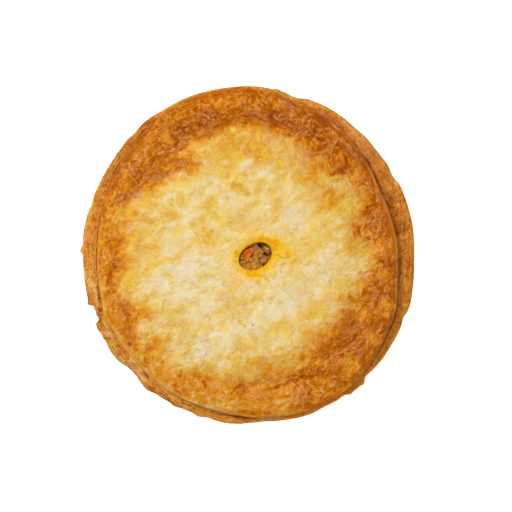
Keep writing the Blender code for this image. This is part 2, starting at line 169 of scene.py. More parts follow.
# Smears of deeper baking, or paler where negative: (from x, y, to x, y, half width, strength)
SMEARS = (
    # Upper right
    (12, 98, 20, 96, 4, 0.16), (18, 93, 31, 90, 3, 0.26), (45, 96, 50, 93, 3, 0.24),
    (46, 88, 52, 89, 2.5, 0.16), (41, 73, 55, 71, 2.5, 0.16), (55, 75, 60, 78, 2, 0.14),
    (63, 75, 70, 77, 3, 0.16), (72, 72, 79, 74, 3, 0.14), (85, 45, 90, 38, 2, 0.14),
    (79, 27, 86, 22, 3, 0.14), (74, 18, 80, 14, 3, 0.12), (92, 26, 95, 20, 2.5, 0.12),
    (20, 84, 35, 83, 2.5, 0.14), (-12, 91, -2, 91, 2, 0.12), (84, 58, 88, 50, 3, 0.10),
    (0, 99, 9, 99, 3, -0.06), (22, 106, 27, 103, 3, -0.14), (26, 97, 35, 93, 3, -0.14),
    (50, 86, 60, 81, 2.5, -0.22), (62, 80, 75, 78, 2.5, -0.16), (60, 70, 67, 72, 2, -0.12),
    (70, 66, 80, 64, 2, -0.14), (2, 86, 12, 85, 2.5, -0.10), (76, 48, 82, 42, 2.5, -0.16),
    (56, 43, 58, 38, 5, 0.20), (8, 67, 12, 66, 4, 0.06), (2, 73, 12, 74, 3.5, 0.06),
    (20, 40, 25, 42, 5, 0.08), (33, 66, 45, 63, 3, 0.08), (60, 32, 66, 30, 4, 0.08),
    (0, 63, 4, 60, 6, -0.10), (12, 58, 14, 56, 4, -0.10), (18, 32, 24, 28, 5, 0.06),
    (33, 22, 38, 28, 6, -0.10), (40, 12, 62, 2, 8, 0.07), (40, 34, 58, 26, 7, 0.07),
    (55, 22, 62, 10, 6, -0.05), (22, 76, 32, 72, 4, -0.06), (20, 3, 36, 5, 6, 0.08),
    (44, 12, 52, 19, 5, 0.08), (42, 22, 50, 30, 5, 0.07), (35, 55, 42, 47, 4, 0.09),
    (40, 60, 46, 54, 3.5, 0.09), (-8, 22, 2, 24, 6, 0.07), (-14, 50, -9, 54, 5, 0.06),
    (-42, 36, -36, 34, 5, -0.07), (52, -36, 56, -30, 4, 0.09), (64, 14, 70, 14, 4, -0.06),
    # Upper left
    (-50, 88, -38, 90, 4.5, 0.24), (-45, 82, -49, 76, 3, 0.18), (-38, 90, -27, 92, 2, 0.2),
    (-36, 98, -30, 97, 3, 0.18), (-26, 99, -23, 94, 3, 0.14), (-34, 80, -22, 84, 1.8, 0.2),
    (-20, 92, -12, 93, 2, 0.12), (-57, 72, -50, 74, 3, 0.14), (-63, 76, -60, 74, 2, 0.12),
    (-68, 67, -64, 68, 1.8, 0.24), (-66, 64, -36, 63, 3.6, 0.16), (-70, 61, -80, 57, 4, 0.12),
    (-66, 54, -57, 57, 3, 0.22), (-78, 47, -72, 52, 3, 0.18), (-88, 38, -83, 42, 2.5, 0.2),
    (-88, 9, -84, 12, 3.5, 0.3), (-97, 7, -92, 3, 3, 0.22), (-98, 20, -99, 32, 2, 0.12),
    (-62, 60, -40, 58, 2, 0.12), (-89, 52, -82, 57, 4.5, -0.12), (-58, 81, -55, 79, 3, -0.16),
    (-35, 85, -27, 88, 3.5, -0.05), (-45, 103, -30, 106, 3, -0.06), (-20, 104, -8, 106, 3, -0.12),
    (-44, 78, -36, 74, 3.5, -0.16), (-74, 62, -70, 66, 3, -0.16), (-66, 74, -64, 71, 2.5, -0.1),
    (-10, 49, -2, 44, 2.6, 0.26), (-25, 34, -24, 27, 4, 0.14), (-54, 29, -51, 27, 3, 0.2),
    (-47, 40, -45, 38, 3, 0.14), (-36, 21, -26, 16, 4, 0.13), (-8, 20, -3, 22, 3.5, 0.12),
    (-28, 79, -17, 81, 3, -0.16), (-14, 71, -8, 79, 4.5, 0.13), (-82, 20, -80, 17, 3, 0.16),
    (-76, 12, -72, 5, 4, 0.10), (-28, 48, -20, 48, 5, -0.10), (-70, 32, -65, 29, 3.5, -0.12),
    (-56, 46, -53, 43, 4, -0.08), (-20, 36, -18, 33, 4, -0.10), (-8, 68, -2, 66, 4, -0.08),
    (-63, 15, -57, 12, 5, -0.08),
    # Lower left
    (-93, -7, -92, -3, 1.7, 0.4), (-98, -13, -92, -17, 4, 0.2), (-96, -27, -93, -21, 3.5, 0.2),
    (-93, -12, -87, -9, 3.5, 0.16), (-87, -33, -79, -37, 2.4, 0.28),
    (-90, -39, -72, -36, 3.2, 0.18), (-77, -42, -69, -42, 2.4, 0.14), (-69, -38, -61, -38, 2, 0.12),
    (-89, -46, -80, -44, 3.5, 0.16), (-85, -50, -79, -58, 3.6, 0.22), (-80, -63, -77, -64, 2, 0.14),
    (-64, -57, -57, -57, 2.6, 0.3), (-65, -62, -62, -72, 2.8, 0.3), (-45, -83, -46, -91, 3.6, 0.16),
    (-37, -82, -29, -86, 1.8, 0.3), (-31, -89, -26, -88, 2, 0.2), (-28, -77, -24, -76, 3, 0.16),
    (-4, -91, -3, -94, 2, 0.16), (-48, -96, -42, -95, 2.5, 0.14), (-27, -98, -25, -94, 2, 0.12),
    (-36, -86, -34, -88, 2, -0.24), (-77, -51, -69, -50, 3, -0.06), (-98, -34, -96, -30, 2, -0.1),
    (-58, -13, -54, -17, 2.6, 0.24), (-9, -24, -8, -31, 3.5, 0.16), (-48, -45, -44, -48, 4, 0.12),
    (-46, -57, -38, -55, 3, 0.08), (-8, -63, 4, -60, 2.6, 0.14), (-12, -39, -6, -41, 3, 0.10),
    (-48, -14, -42, -10, 7, -0.10), (-54, -26, -46, -24, 7, -0.08), (-24, -52, -16, -48, 7, -0.10),
    (-34, -66, -26, -64, 4, -0.09), (-20, -76, -15, -74, 3.5, -0.14),
    (-30, -30, -24, -34, 6, -0.06),
    # Lower right
    (50, -80, 42, -82, 2.5, 0.18), (50, -67, 53, -69, 2.2, 0.3), (51, -63, 62, -61, 1.8, 0.26),
    (64, -61, 78, -62, 2.4, 0.22), (66, -52, 70, -49, 2.5, 0.18), (85, -27, 88, -31, 2, 0.26),
    (94, -25, 99, -28, 2, 0.2), (82, -34, 86, -36, 2.5, 0.14), (98, -7, 101, -15, 2, 0.14),
    (94, -3, 97, -7, 2, 0.22), (62, -33, 66, -41, 2.4, 0.18), (64, -29, 71, -29, 2, 0.2),
    (80, -15, 76, -18, 2, 0.14), (79, -68, 85, -67, 3.5, 0.16), (59, -87, 63, -83, 3, 0.12),
    (30, -97, 36, -98, 2.4, 0.26), (40, -104, 46, -104, 2.5, 0.16), (60, -98, 68, -96, 2.5, 0.14),
    (8, -106, 16, -107, 2, 0.14), (60, -79, 64, -80, 2.4, 0.14), (93, -48, 97, -44, 3, 0.12),
    (20, -98, 27, -95, 5, -0.08), (20, -102, 28, -103, 3, -0.05), (37, -89, 40, -93, 3, -0.12),
    (74, -72, 78, -76, 2.6, -0.08), (60, -73, 56, -77, 2.4, -0.06), (94, -40, 88, -38, 2.4, -0.24),
    (90, -35, 96, -33, 2.4, -0.12), (66, -79, 72, -81, 2.2, -0.18), (82, -53, 88, -56, 3, -0.10),
    (44, -32, 40, -40, 5, 0.12), (50, -40, 60, -38, 4, 0.10), (15, -49, 22, -47, 5, 0.10),
    (0, -74, 24, -71, 3, 0.14), (0, -66, 30, -62, 2.4, 0.06), (12, -38, 24, -33, 7, -0.12),
    (-4, -50, 2, -46, 6, -0.10), (42, -22, 50, -18, 6, -0.06), (18, -22, 26, -18, 6, -0.07),
    (3, -67, 7, -66, 3, -0.16), (34, -46, 37, -44, 3, -0.10), (24, -56, 32, -54, 4, -0.07),
    (58, -10, 64, -5, 5, -0.06), (72, 3, 80, -3, 5, -0.08),
    # All round
    (-71, 78, -70, 82, 2.2, 0.20), (-50, 81, -42, 87, 3, 0.14), (-40, 76, -30, 78, 2.5, 0.14),
    (-16, 90, -3, 88, 3.5, -0.18), (-47, 68, -38, 69, 2.5, -0.20), (-68, 67, -55, 67, 2, -0.10),
    (-62, 60, -52, 59, 2, -0.12), (-65, 56, -63, 50, 2.5, 0.13), (-55, 55, -46, 56, 2, 0.10),
    (-83, 53, -82, 45, 2, -0.13), (-80, 41, -70, 46, 2.3, 0.18), (-83, 27, -76, 28, 4.5, 0.24),
    (-89, 38, -87, 42, 2, 0.12), (-100, 27, -97, 34, 2, 0.12), (-68, 20, -64, 12, 5, 0.07),
    (-54, 44, -44, 37, 6, -0.11), (-28, 36, -21, 39, 3, -0.08), (-91, 20, -90, 20.5, 2, -0.16),
    (-101, 5, -95, 13, 2.2, -0.12), (-90, -8, -82, -2, 3.2, 0.22), (-90, -15, -87, -27, 4, -0.26),
    (-98, -21, -97, -28, 3, -0.11), (-79, -12, -76, -28, 2.5, 0.10), (-80, -37, -73, -41, 3, -0.14),
    (-82, -52, -73, -46, 2, 0.15), (-71.5, -55, -70.5, -57, 3.2, -0.28),
    (-57, -75, -56, -79, 3, 0.10), (-33, -76, -26, -82, 4, 0.20), (-41, -90, -38, -94, 3, -0.18),
    (-51, -88, -49, -90, 2.5, -0.14), (-28, -91, -27, -94, 2.5, -0.14),
    (-32, -97, -30, -99, 2.6, -0.12), (-35, -104, -24, -107, 2.5, -0.10),
    (-46, -63, -44, -65, 3.5, 0.08), (-71, -83, -69, -85, 3, 0.08), (-101, -8, -99, -1, 2, 0.12),
    (8, 40, 18, 39, 4, 0.10), (25, 33, 37, 33, 4, 0.08), (-22, 27, -12, 28, 3.5, 0.08),
    (-48, 22, -41, 27, 3, 0.08), (-18, 48, -16, 50, 2.5, 0.08), (0, 42, 2, 43, 2.2, -0.08),
    (9, 28, 11, 30, 3, -0.09), (30, 11, 43, 16, 3.5, -0.09), (39, 6, 47, 8, 2.5, 0.09),
    (51, 17, 58, 20, 3.5, 0.09), (61, 28, 65, 27, 2.6, -0.12), (52, 1, 66, 1, 6, -0.09),
    (67, -4, 69, -6, 3, -0.10), (38, -11, 54, -6, 5, -0.08), (-68, -7, -55, -14, 4, -0.06),
    (-14, -45, -5, -40, 5, 0.10), (0, -37, 8, -32, 3, 0.09), (6, -71, 11, -79, 4, 0.17),
    (-14, -62, -2, -66, 4, -0.07), (2, -60, 7, -63, 3, -0.10), (37, -62, 38, -69, 2, 0.14),
    (36, -50, 46, -56, 3, 0.10), (24, -69, 28, -70, 2.4, 0.10), (14, -79, 22, -80, 2.5, 0.08),
    (43, -66, 57, -59, 3, -0.14), (60, -38, 70, -39, 2.3, -0.12), (80, -26, 75, -39, 4, -0.24),
    (66, -27, 68, -33, 2.5, 0.12), (78, -15, 83, -10, 2.3, 0.16), (86, -27, 88, -30, 1.8, 0.16),
    (96, -32, 98, -34, 2.8, -0.16), (99, -13, 101, -18, 2, 0.12), (74, -49, 81, -53, 2.6, 0.15),
    (85, -49, 95, -46, 2.5, 0.09), (87, -58, 89, -60, 2.8, -0.12), (68, -62, 75, -61, 2, 0.10),
    (69, -67, 71, -68, 2.5, -0.10), (75, -72, 78, -75, 1.8, 0.16), (55, -74, 62, -69, 2.6, 0.13),
    (64, -81, 71, -76, 3.2, -0.18), (36, -79, 50, -73, 3, -0.18), (49, -85, 57, -88, 3, -0.18),
    (53, -93, 55, -95, 2.2, -0.14), (26, -84, 30, -77, 3, -0.10), (3, -82, 13, -88, 2.2, -0.08),
    (-4, -103, 8, -100, 3, -0.11), (12.5, -90, 13, -99, 2, -0.10), (25, -108, 38, -106, 2.5, -0.10),
    (-12, -97, -4, -93, 2.5, 0.07), (96, 9, 98, 9, 2, 0.12), (92, 14, 95, 17, 1.6, 0.10),
    (82, 22, 88, 25, 2.5, 0.18), (76, 42, 78, 27, 4, -0.18), (80, 13, 88, 6, 3.2, -0.20),
    (72, 11, 73, 3, 2.3, 0.14), (51, 66, 57, 57, 3.5, -0.17), (62, 55, 72, 53, 2.5, -0.17),
    (72, 70, 79, 65, 4, 0.10), (65, 73, 68, 73, 2.6, 0.13), (54, 73, 58, 78, 2, 0.17),
    (58, 80, 63, 84, 2.3, 0.17), (33, 75, 43, 80, 4, -0.20), (33, 67, 41, 68, 2, 0.12),
    (30, 58, 40, 55, 3.5, 0.06), (3, 66, 12, 72, 2.5, -0.08), (10, 81, 22, 84, 2.5, -0.11),
    (11, 86, 13, 86, 1.8, 0.13), (6, 92, 8, 92, 1.6, -0.12), (0, 95, 2, 100, 2.3, 0.15),
    (12, 97, 17, 98, 2.4, 0.10), (18, 96, 23, 93, 2.5, 0.18), (32, 93, 47, 93, 3, 0.13),
    (33, 83, 33, 85, 2.2, 0.12), (18, 104, 20, 104, 2, -0.22), (26, 103, 28, 103, 2, 0.14),
    (-2, 104, 16, 109, 4, -0.10), (-13, 104, -11, 104, 2.4, 0.10), (-28, 97, -29, 108, 1.8, 0.13),
    (-36, 98, -31, 93, 3, 0.12), (-23, 110, -21, 110, 2.8, -0.12), (-35, 88, -33, 88, 2.6, -0.10),
    (66, 10, 78, 8, 3, 0.08), (30, 92, 48, 84, 3, 0.10), (12, 96, 28, 93, 3, 0.10),
    (-6, 107, 8, 107, 3, -0.10), (-14, 73, -10, 75, 3, 0.09), (-39, 89, -34, 91, 3, 0.08),
    (-49, 65, -45, 67, 3, -0.07), (-77, 41, -72, 45, 3, 0.06), (-97, 6, -95, 14, 3, -0.08),
    (-92, -6, -86, -12, 3, 0.07), (-68, -54, -62, -61, 3, 0.09), (-8, -70, 0, -70, 3, -0.06),
    (0, -93, 6, -93, 3, 0.08), (44, -52, 50, -47, 3, -0.07), (50, -82, 60, -76, 3, 0.06),
    (90, -6, 92, -14, 2.5, -0.10), (60, -14, 68, -20, 4, 0.07), (80, -40, 86, -32, 3, 0.06),
    (79, 10, 86, 8, 4.5, -0.24), (80, 18, 82, 15, 2, -0.10), (71, 54, 73, 52, 3, -0.22),
    (77, 58, 79, 58, 2.4, -0.18), (52, 67, 54, 67, 3, -0.20), (43, 74, 46, 74, 3, -0.16),
    (36, 80, 40, 79, 3.5, -0.12), (43, 65, 44, 65, 2.2, -0.12), (18, 104, 20, 104, 2.4, -0.20),
    (-10, 86, -8, 90, 3.5, -0.14), (-4, 104, -3, 108, 2.4, -0.12), (-52, 77, -52, 80, 2.2, -0.20),
    (-45, 75, -42, 74, 2.2, -0.16), (-64, 68, -56, 68, 2.5, -0.10), (-60, 59, -53, 59, 2.4, -0.12),
    (-67, 46, -63, 39, 3, -0.12), (-54, 37, -51, 38, 3, -0.12), (-82, 42, -82, 48, 2.4, -0.12),
    (-25, 62, -20, 61, 4, -0.10), (-82, 14, -80, 14, 2.6, -0.16), (-73, -28, -71, -28, 2.6, -0.20),
    (-79, -36, -79, -41, 2.4, -0.18), (-60, -37, -58, -37, 2.4, -0.12),
    (-94, -46, -91, -48, 2.6, -0.10), (-38, -52, -36, -54, 3, -0.08),
    (-6, -30, -2, -32, 4.5, -0.10), (-35, -13, -18, -10, 6, -0.06), (12, -48, 14, -56, 3, -0.08),
    (19, -63, 26, -63, 3.5, -0.08), (55, -59, 60, -61, 3.5, -0.14), (75, -36, 76, -40, 3, -0.15),
    (83, -43, 85, -43, 2.4, -0.14), (93, -34, 98, -32, 3, -0.14), (40, -76, 45, -74, 3, -0.14),
    (51, -73, 52, -77, 3, -0.16), (68, -77, 75, -77, 3, -0.12), (66, -81, 67, -84, 2.6, -0.12),
    (51, -86, 55, -88, 3, -0.15), (64, -92, 69, -92, 2.6, -0.12), (52, -96, 54, -96, 2.4, -0.14),
    (33, -102, 36, -102, 2.4, -0.12), (22, -102, 24, -103, 2, -0.12),
    (35, -108, 38, -107, 2.4, -0.12), (6, -83, 14, -85, 3, -0.12),
    (-34, -105, -22, -107, 3.5, -0.14), (-20, -101, -15, -101, 2.6, -0.10),
    (-42, -93, -38, -93, 2.6, -0.14), (-30, -71, -27, -71, 3, -0.10),
    (-74, -66, -71, -67, 2.6, -0.12), (-65, -54, -62, -54, 2, -0.12), (64, 27, 66, 25, 2.4, -0.12),
    (75, 32, 80, 31, 2.6, -0.10), (100, 26, 100, 28, 1.8, -0.12), (90, -5, 95, -4, 3.5, -0.10),
    (86, -15, 88, -15, 2.4, -0.12), (93, 2, 97, 2, 2.4, -0.10), (71, -28, 73, -28, 2, -0.12),
    (66, 61, 69, 65, 4, 0.18), (64, 70, 65, 74, 3.5, 0.14), (76, 68, 82, 67, 4, 0.08),
    (56, 52, 62, 55, 4, 0.10), (45, 44, 52, 45, 4, 0.07), (61, 80, 63, 80, 2.4, 0.12),
    (56, 75, 58, 77, 2, 0.12), (87, 38, 89, 38, 2.4, 0.18), (97, 9, 99, 9, 2.2, 0.16),
    (70, 3, 74, 1, 4.5, 0.14), (37, 20, 44, 24, 4.5, 0.08), (86, -28, 88, -29, 2.4, 0.20),
    (75, -23, 78, -24, 2.6, 0.12), (80, -13, 80, -17, 2, 0.12), (84, -34, 86, -34, 2, 0.12),
    (74, -49, 76, -52, 3, 0.20), (71, -62, 74, -62, 2.4, 0.12), (38, -64, 39, -70, 2.6, 0.12),
    (43, -54, 49, -52, 3, 0.10), (16, -92, 19, -92, 2.6, 0.20), (-8, -90, -2, -91, 3.4, 0.20),
    (-18, -93, -11, -97, 3.4, 0.18), (-11, -80, -8, -78, 3.4, 0.12),
    (-42, -82, -41, -85, 2.6, 0.14), (-34, -86, -32, -86, 2, 0.10), (-69, -81, -67, -84, 3, 0.14),
    (-65, -72, -63, -74, 2.6, 0.20), (-63, -60, -60, -64, 3.2, 0.20),
    (-59, -78, -57, -78, 2.6, 0.10), (-73, -43, -66, -42, 2.6, 0.20),
    (-82, -52, -78, -52, 2.4, 0.14), (-87, -43, -85, -43, 2, 0.12), (-84, -26, -79, -26, 3.4, 0.10),
    (-92, -13, -88, -10, 2.6, 0.18), (-47, 80, -44, 84, 2.8, 0.20), (-43, 87, -41, 88, 2.4, 0.14),
    (-79, 69, -77, 66, 2.8, 0.14), (-78, 61, -76, 57, 2.8, 0.14), (-59, 95, -56, 96, 2.4, 0.10),
    (-35, 96, -33, 96, 2.2, 0.12), (-27, 85, -22, 85, 2.4, 0.14), (-34, 77, -31, 77, 2.4, 0.10),
    (0, 93, 2, 98, 2.6, 0.20), (18, 96, 21, 93, 2.6, 0.20), (27, 103, 29, 103, 2, 0.12),
    (24, 80, 31, 82, 2.6, 0.14), (-18, 50, -16, 46, 2.6, 0.10), (-3, 68, 6, 71, 3.4, 0.10),
    (-89, 38, -87, 38, 2.4, 0.12), (-100, 28, -99, 33, 2, 0.10), (-72, 87, -69, 89, 3, 0.12),
    (-93, 58, -90, 60, 2.4, 0.10), (19, 96, 23, 93, 2.4, 0.16), (11, 85, 13, 88, 2.2, 0.13),
    (-46, 81, -44, 84, 2.4, 0.14), (0, 93, 3, 97, 2.2, 0.12), (-77, 42, -73, 45, 2.2, 0.15),
    (-82, 24, -78, 26, 2.6, 0.14), (-70, -81, -69, -85, 2.4, 0.16), (7, -88, 9, -94, 2.2, 0.13),
    (8, -77, 14, -82, 2.4, 0.12), (73, -49, 77, -52, 2.6, 0.18), (80, -53, 84, -55, 2.4, 0.13),
    (85, -27, 88, -29, 2.4, 0.20), (64, -33, 69, -34, 2.4, 0.14), (79, -13, 81, -17, 2.4, 0.13),
    (73, 10, 78, 3, 2.4, 0.15), (87, 37, 89, 39, 2.2, 0.15), (78, 68, 84, 70, 3, 0.11),
    (36, 65, 42, 69, 2.2, 0.14), (83, 61, 88, 62, 2.6, 0.09), (-46, 62, -34, 63, 2.2, 0.11),
    (-66, 53, -50, 56, 2.2, 0.12), (-13, 76, -9, 75, 2.6, 0.09), (-28, 85, -22, 86, 2.2, 0.10),
    (66, 72, 69, 74, 2.4, 0.10), (54, 30, 60, 33, 4, 0.07), (36, 55, 41, 50, 4, 0.06),
    (16, 104, 19, 104, 2.4, -0.16), (9, 103, 12, 103, 2, -0.10), (34, 100, 37, 102, 2.4, -0.12),
    (77, 57, 79, 59, 2.2, -0.18), (71, 53, 80, 50, 2.4, -0.15), (84, 52, 90, 50, 2, -0.08),
    (86, 10, 88, 15, 2.2, -0.14), (99, 28, 101, 26, 2, -0.12), (57, 3, 64, 2, 3.5, -0.10),
    (-10, 2, -9, -1, 3, -0.08), (-8, -10, -6, -12, 2.4, -0.07), (-20, 2, -14, 2, 3, -0.06),
    (9, 27, 11, 31, 3, -0.07), (44, 74, 47, 74, 2.2, -0.14), (-39, 101, -37, 102, 2.2, -0.12),
    (-52, 77, -51, 80, 2, -0.12), (-65, 76, -62, 80, 2.4, -0.12),
    (-36, -105, -24, -107, 2.6, -0.14), (4, -100, 7, -102, 2.4, -0.14),
    (20, -97, 26, -97, 2, -0.10), (38, -99, 42, -97, 2.2, -0.11), (45, -89, 49, -88, 2.2, -0.14),
    (74, -78, 79, -81, 2.4, -0.14), (48, -66, 62, -62, 2.4, -0.09), (44, -78, 60, -77, 2, -0.10),
    (52, -41, 54, -44, 2.4, -0.09), (84, -42, 86, -43, 2.2, -0.12),
    (-79, -39, -78, -44, 2.4, -0.13), (-92, 19, -91, 21, 2.4, -0.12),
    (-94, 29, -91, 32, 2.4, -0.10), (-99, 10, -97, 6, 2.2, -0.10), (-94, 2, -91, 3, 2.2, -0.08),
    (55, -18, 57, -22, 3, -0.06), (94, 3, 98, 2, 2.2, -0.11), (-22, 77, -17, 76, 2.6, -0.11),
    (4, -28, 7, -28, 2.4, -0.08), (8, -41, 10, -41, 2.4, -0.07), (-39, 69, -44, 67, 2.2, -0.12),
    (-60, 59, -52, 60, 2, -0.09), (-36, 44, -40, 44, 3, -0.06), (20, 53, 24, 51, 4, -0.06),
    (8, 50, 10, 52, 3, -0.05), (18, 95, 20, 94, 2.4, 0.22), (-48, 82, -46, 83, 2.6, 0.20),
    (86, -29, 87, -31, 2.4, 0.22), (-70, -82, -69, -84, 2.6, 0.24), (96, 8, 97, 8, 2, 0.16),
    (87, 36, 88, 37, 2, 0.16), (73, -50, 74, -51, 2.6, 0.16), (-2, 97, 0, 97, 2.4, 0.14),
    (78, 72, 84, 68, 4, 0.10), (87, 62, 90, 63, 2.6, 0.12), (64, 61, 68, 62, 2.6, 0.12),
    (57, 75, 61, 78, 2.2, 0.16), (-71, -41, -70, -42, 2.2, 0.16), (-96, -55, -93, -57, 2.4, 0.18),
    (98, -21, 95, -22, 2.4, 0.10), (-16, 55, -12, 54, 4, 0.07), (-27, 33, -25, 30, 3, 0.07),
    (-6, 35, -3, 34, 3, 0.07), (-6, 19, -3, 21, 3, 0.06), (55, -33, 58, -32, 3, 0.09),
    (7, -67, 9, -66, 2.4, 0.09), (-9, -42, -8, -42, 2.4, 0.09), (-12, 68, -6, 68, 2.6, 0.07),
    (44, 98, 47, 101, 2.6, -0.14), (-27, -105, -25, -106, 2.6, -0.20),
    (99, 27, 101, 24, 2.2, -0.18), (-99, 21, -98, 23, 2.2, -0.14), (45, 73, 46, 73, 2, -0.16),
    (52, 69, 53, 69, 2.2, -0.16), (28, 69, 30, 69, 2.4, -0.12), (62, -38, 70, -37, 2, -0.14),
    (95, -34, 97, -35, 2.4, -0.14), (76, -82, 79, -81, 2.2, -0.14), (51, -94, 54, -95, 2.2, -0.14),
    (-21, -81, -19, -81, 2.4, -0.14), (-12, -87, -11, -88, 2.4, -0.14),
    (-17, -98, -16, -99, 2.2, -0.14), (-29, -90, -28, -91, 2.2, -0.14),
    (-40, -89, -39, -90, 2, -0.14), (-64, 69, -59, 69, 2.2, -0.12), (-52, 92, -51, 94, 2.2, -0.14),
    (-39, 101, -37, 102, 2, -0.12), (-34, 67, -31, 66, 2.6, -0.10), (55, -9, 62, -7, 3, -0.07),
    (40, -11, 48, -9, 3, -0.06), (-52, -33, -46, -31, 4, -0.06), (-56, -12, -40, -15, 4, -0.06),
    (68, -15, 73, -14, 3, -0.09), (18, 27, 22, 28, 3, -0.06), (8, 29, 10, 32, 3, -0.06),
    (0, 42, 1, 44, 2.4, -0.08), (-66, 36, -62, 37, 4, -0.06), (-52, 43, -56, 46, 3, -0.06),
    (-12, -66, -9, -68, 3, -0.06), (-34, -54, -37, -54, 3, -0.06), (-86, 40, -88, 39, 2, 0.12),
    (76, -30, 79, -38, 2, -0.10), (-79, -47, -66, -55, 2, -0.08), (87, -56, 89, -60, 2.4, -0.12),
    (20, -102, 24, -104, 2, -0.10),
    # Right side
    (80, 19, 82, 15, 2.3, -0.20), (85, 19, 83.5, 13, 1.6, 0.20), (93, 27, 97, 25, 2.5, 0.16),
    (92, 19, 95, 15, 2.0, 0.14), (87, -1, 90, -3, 1.6, 0.20), (72, 23, 74, 21, 1.8, 0.16),
    (72, 14, 75, 12, 2.0, 0.14), (80, 29, 82, 31, 1.8, 0.16), (76, 25, 80, 26, 3.0, 0.08),
    (90, 4, 96, 6, 3.0, -0.10), (88, -5, 90, -6, 1.8, -0.20), (82, 44, 90, 37, 2.4, 0.22),
    (45, 95, 49, 94, 2.5, 0.16), (60, 84, 65, 83, 2.0, 0.14), (62, 74, 68, 75, 3.0, 0.12),
    (63, 68, 64, 65, 1.8, -0.24), (69, 66, 72, 64, 2.2, -0.22), (73, 66, 80, 62, 2.4, 0.16),
    (82, 56, 84, 50, 2.6, 0.12), (70, 58, 76, 55, 2.2, -0.14), (46, 76, 52, 78, 3.0, -0.06),
    (44, 84, 47, 82, 1.8, 0.18), (50, 73, 56, 74, 2.4, 0.16),
)
# Folds and ridges that stand out: (points, half width, height, how much darker, paler where
# negative). The paler raised ridges are painted highlights.
FOLD_LINES = (
    (((12, -92.5), (20, -90.5), (30, -86.5), (38, -84), (47, -82.5)), 1.2, -0.9, 0.34),
    (((-12, -94.5), (-8, -90.5), (-3, -89.5)), 0.9, -0.7, 0.4),
    (((-17, -98), (-13, -94.5)), 0.8, -0.5, 0.3),
    (((-87, 60), (-82, 56), (-76.5, 49)), 0.8, 0.6, -0.2),
    (((-85, 60.5), (-80, 56), (-75, 50)), 0.7, -0.6, 0.24),
    (((58, 57), (64, 58), (70, 61)), 1.8, -0.9, 0.34),
    (((67, 61), (67.5, 66)), 1.3, -0.5, 0.26),
    (((67, -64.5), (60, -68), (54, -73), (51, -79)), 0.8, 0.6, -0.26),
    (((82, 33.5), (86, 35), (88.5, 38)), 0.9, -0.6, 0.36),
    (((75.5, -50), (75, -54), (72.5, -57)), 0.9, -0.6, 0.36),
    (((-27, 102), (-23, 97.5), (-20, 93)), 0.8, 0.5, -0.18),
    (((-24.5, 102), (-20.5, 97.5), (-17.5, 95)), 0.8, -0.5, 0.2),
    (((-5, 97), (0, 95.5), (6, 95.5)), 1.3, -0.7, 0.34),
    (((33, 80), (36.5, 87), (39, 94), (41, 97)), 0.7, 0.5, -0.22),
    (((42, 93), (41, 88), (43.5, 83.5), (50, 81)), 0.7, 0.5, -0.22),
    (((44, 81.5), (51, 79.5)), 1.0, -0.5, 0.26),
    (((45, 69), (53, 71.5), (58, 74.5), (60.5, 80)), 0.7, 0.5, -0.2),
    (((78, 14), (82, 19), (88, 24)), 0.7, 0.5, -0.22),
    (((84, 8), (85.5, 13), (83, 18)), 0.7, 0.5, -0.24),
    (((-71, -67), (-71.5, -73)), 0.8, -0.4, 0.22),
    (((-64, -74), (-64.5, -80)), 0.7, -0.4, 0.22),
    (((-52, -76), (-46, -76.5)), 0.8, -0.4, 0.3),
    (((42, -86), (42.5, -91), (41, -97)), 0.7, -0.5, 0.24),
    (((-46, 92), (-40, 94), (-36, 91)), 0.8, -0.4, 0.2),
    (((-94, 34), (-91, 38), (-91.5, 43)), 0.8, -0.5, 0.26),
    (((30.2, -86.7), (33.5, -91), (37.6, -94.7)), 0.7, 0.55, -0.2),
    (((39.4, -86.1), (42, -89.5), (44.5, -92.4)), 0.7, 0.55, -0.2),
    (((37.6, -90.1), (39, -94), (41.7, -97.6)), 0.7, 0.55, -0.2),
    (((46.8, -85.6), (49.1, -90.2), (50.8, -94.7), (49.7, -97.6)), 0.7, 0.55, -0.2),
    (((29, -90.1), (34.8, -93.6), (38.8, -97)), 0.7, 0.5, -0.18),
    (((56, -71.8), (57.7, -75.2), (58.2, -79.8)), 0.7, 0.5, -0.2),
    (((46.8, -69), (49.6, -71.8)), 0.7, 0.5, -0.16),
    (((42.8, -63.8), (42.2, -61.5), (43.4, -58.7)), 0.7, 0.5, -0.12),
    (((42.2, -93.8), (42.2, -95.6)), 0.9, -0.6, 0.36),
    (((49, -94), (49.2, -95.4)), 0.8, -0.5, 0.3),
    (((82, 50), (83, 45), (85, 41.5)), 0.8, 0.55, -0.2),
    (((76, 21), (80, 22.5), (84, 23.5), (88, 25)), 0.8, 0.55, -0.2),
    (((86, 23), (89, 20), (89.5, 17), (87.5, 13.5), (84.5, 10)), 0.9, 0.6, -0.24),
    (((94.5, 14.5), (91.5, 12.5)), 0.8, 0.5, -0.2),
    (((80, 2), (82, 4.5), (85, 3)), 0.7, 0.5, -0.16),
    (((78, -12), (82, -9.5), (86, -9), (90, -7.5)), 0.8, 0.55, -0.2),
    (((80, -14), (84, -11.5), (88, -13), (89.5, -16.5)), 0.8, 0.55, -0.2),
    (((91.5, -8.8), (95, -8.2), (98, -7)), 0.8, -0.6, 0.3),
    (((41, 72), (48, 70), (53, 73), (58, 76)), 0.7, 0.5, -0.2),
    (((44, 66), (50, 67), (56, 70), (59, 74)), 0.8, 0.5, -0.2),
    (((47, 82), (50, 86), (56, 87)), 0.8, 0.5, -0.2),
    (((48, 80.5), (51.5, 80)), 0.9, -0.6, 0.3),
    (((56, 56.5), (61, 56), (66, 57)), 1.2, -0.6, 0.3),
    (((66.5, 60), (67.5, 63), (66.5, 66.5)), 1.0, -0.5, 0.26),
    (((58, 91), (62, 87.5), (67, 83.5)), 0.8, 0.4, -0.3),
)
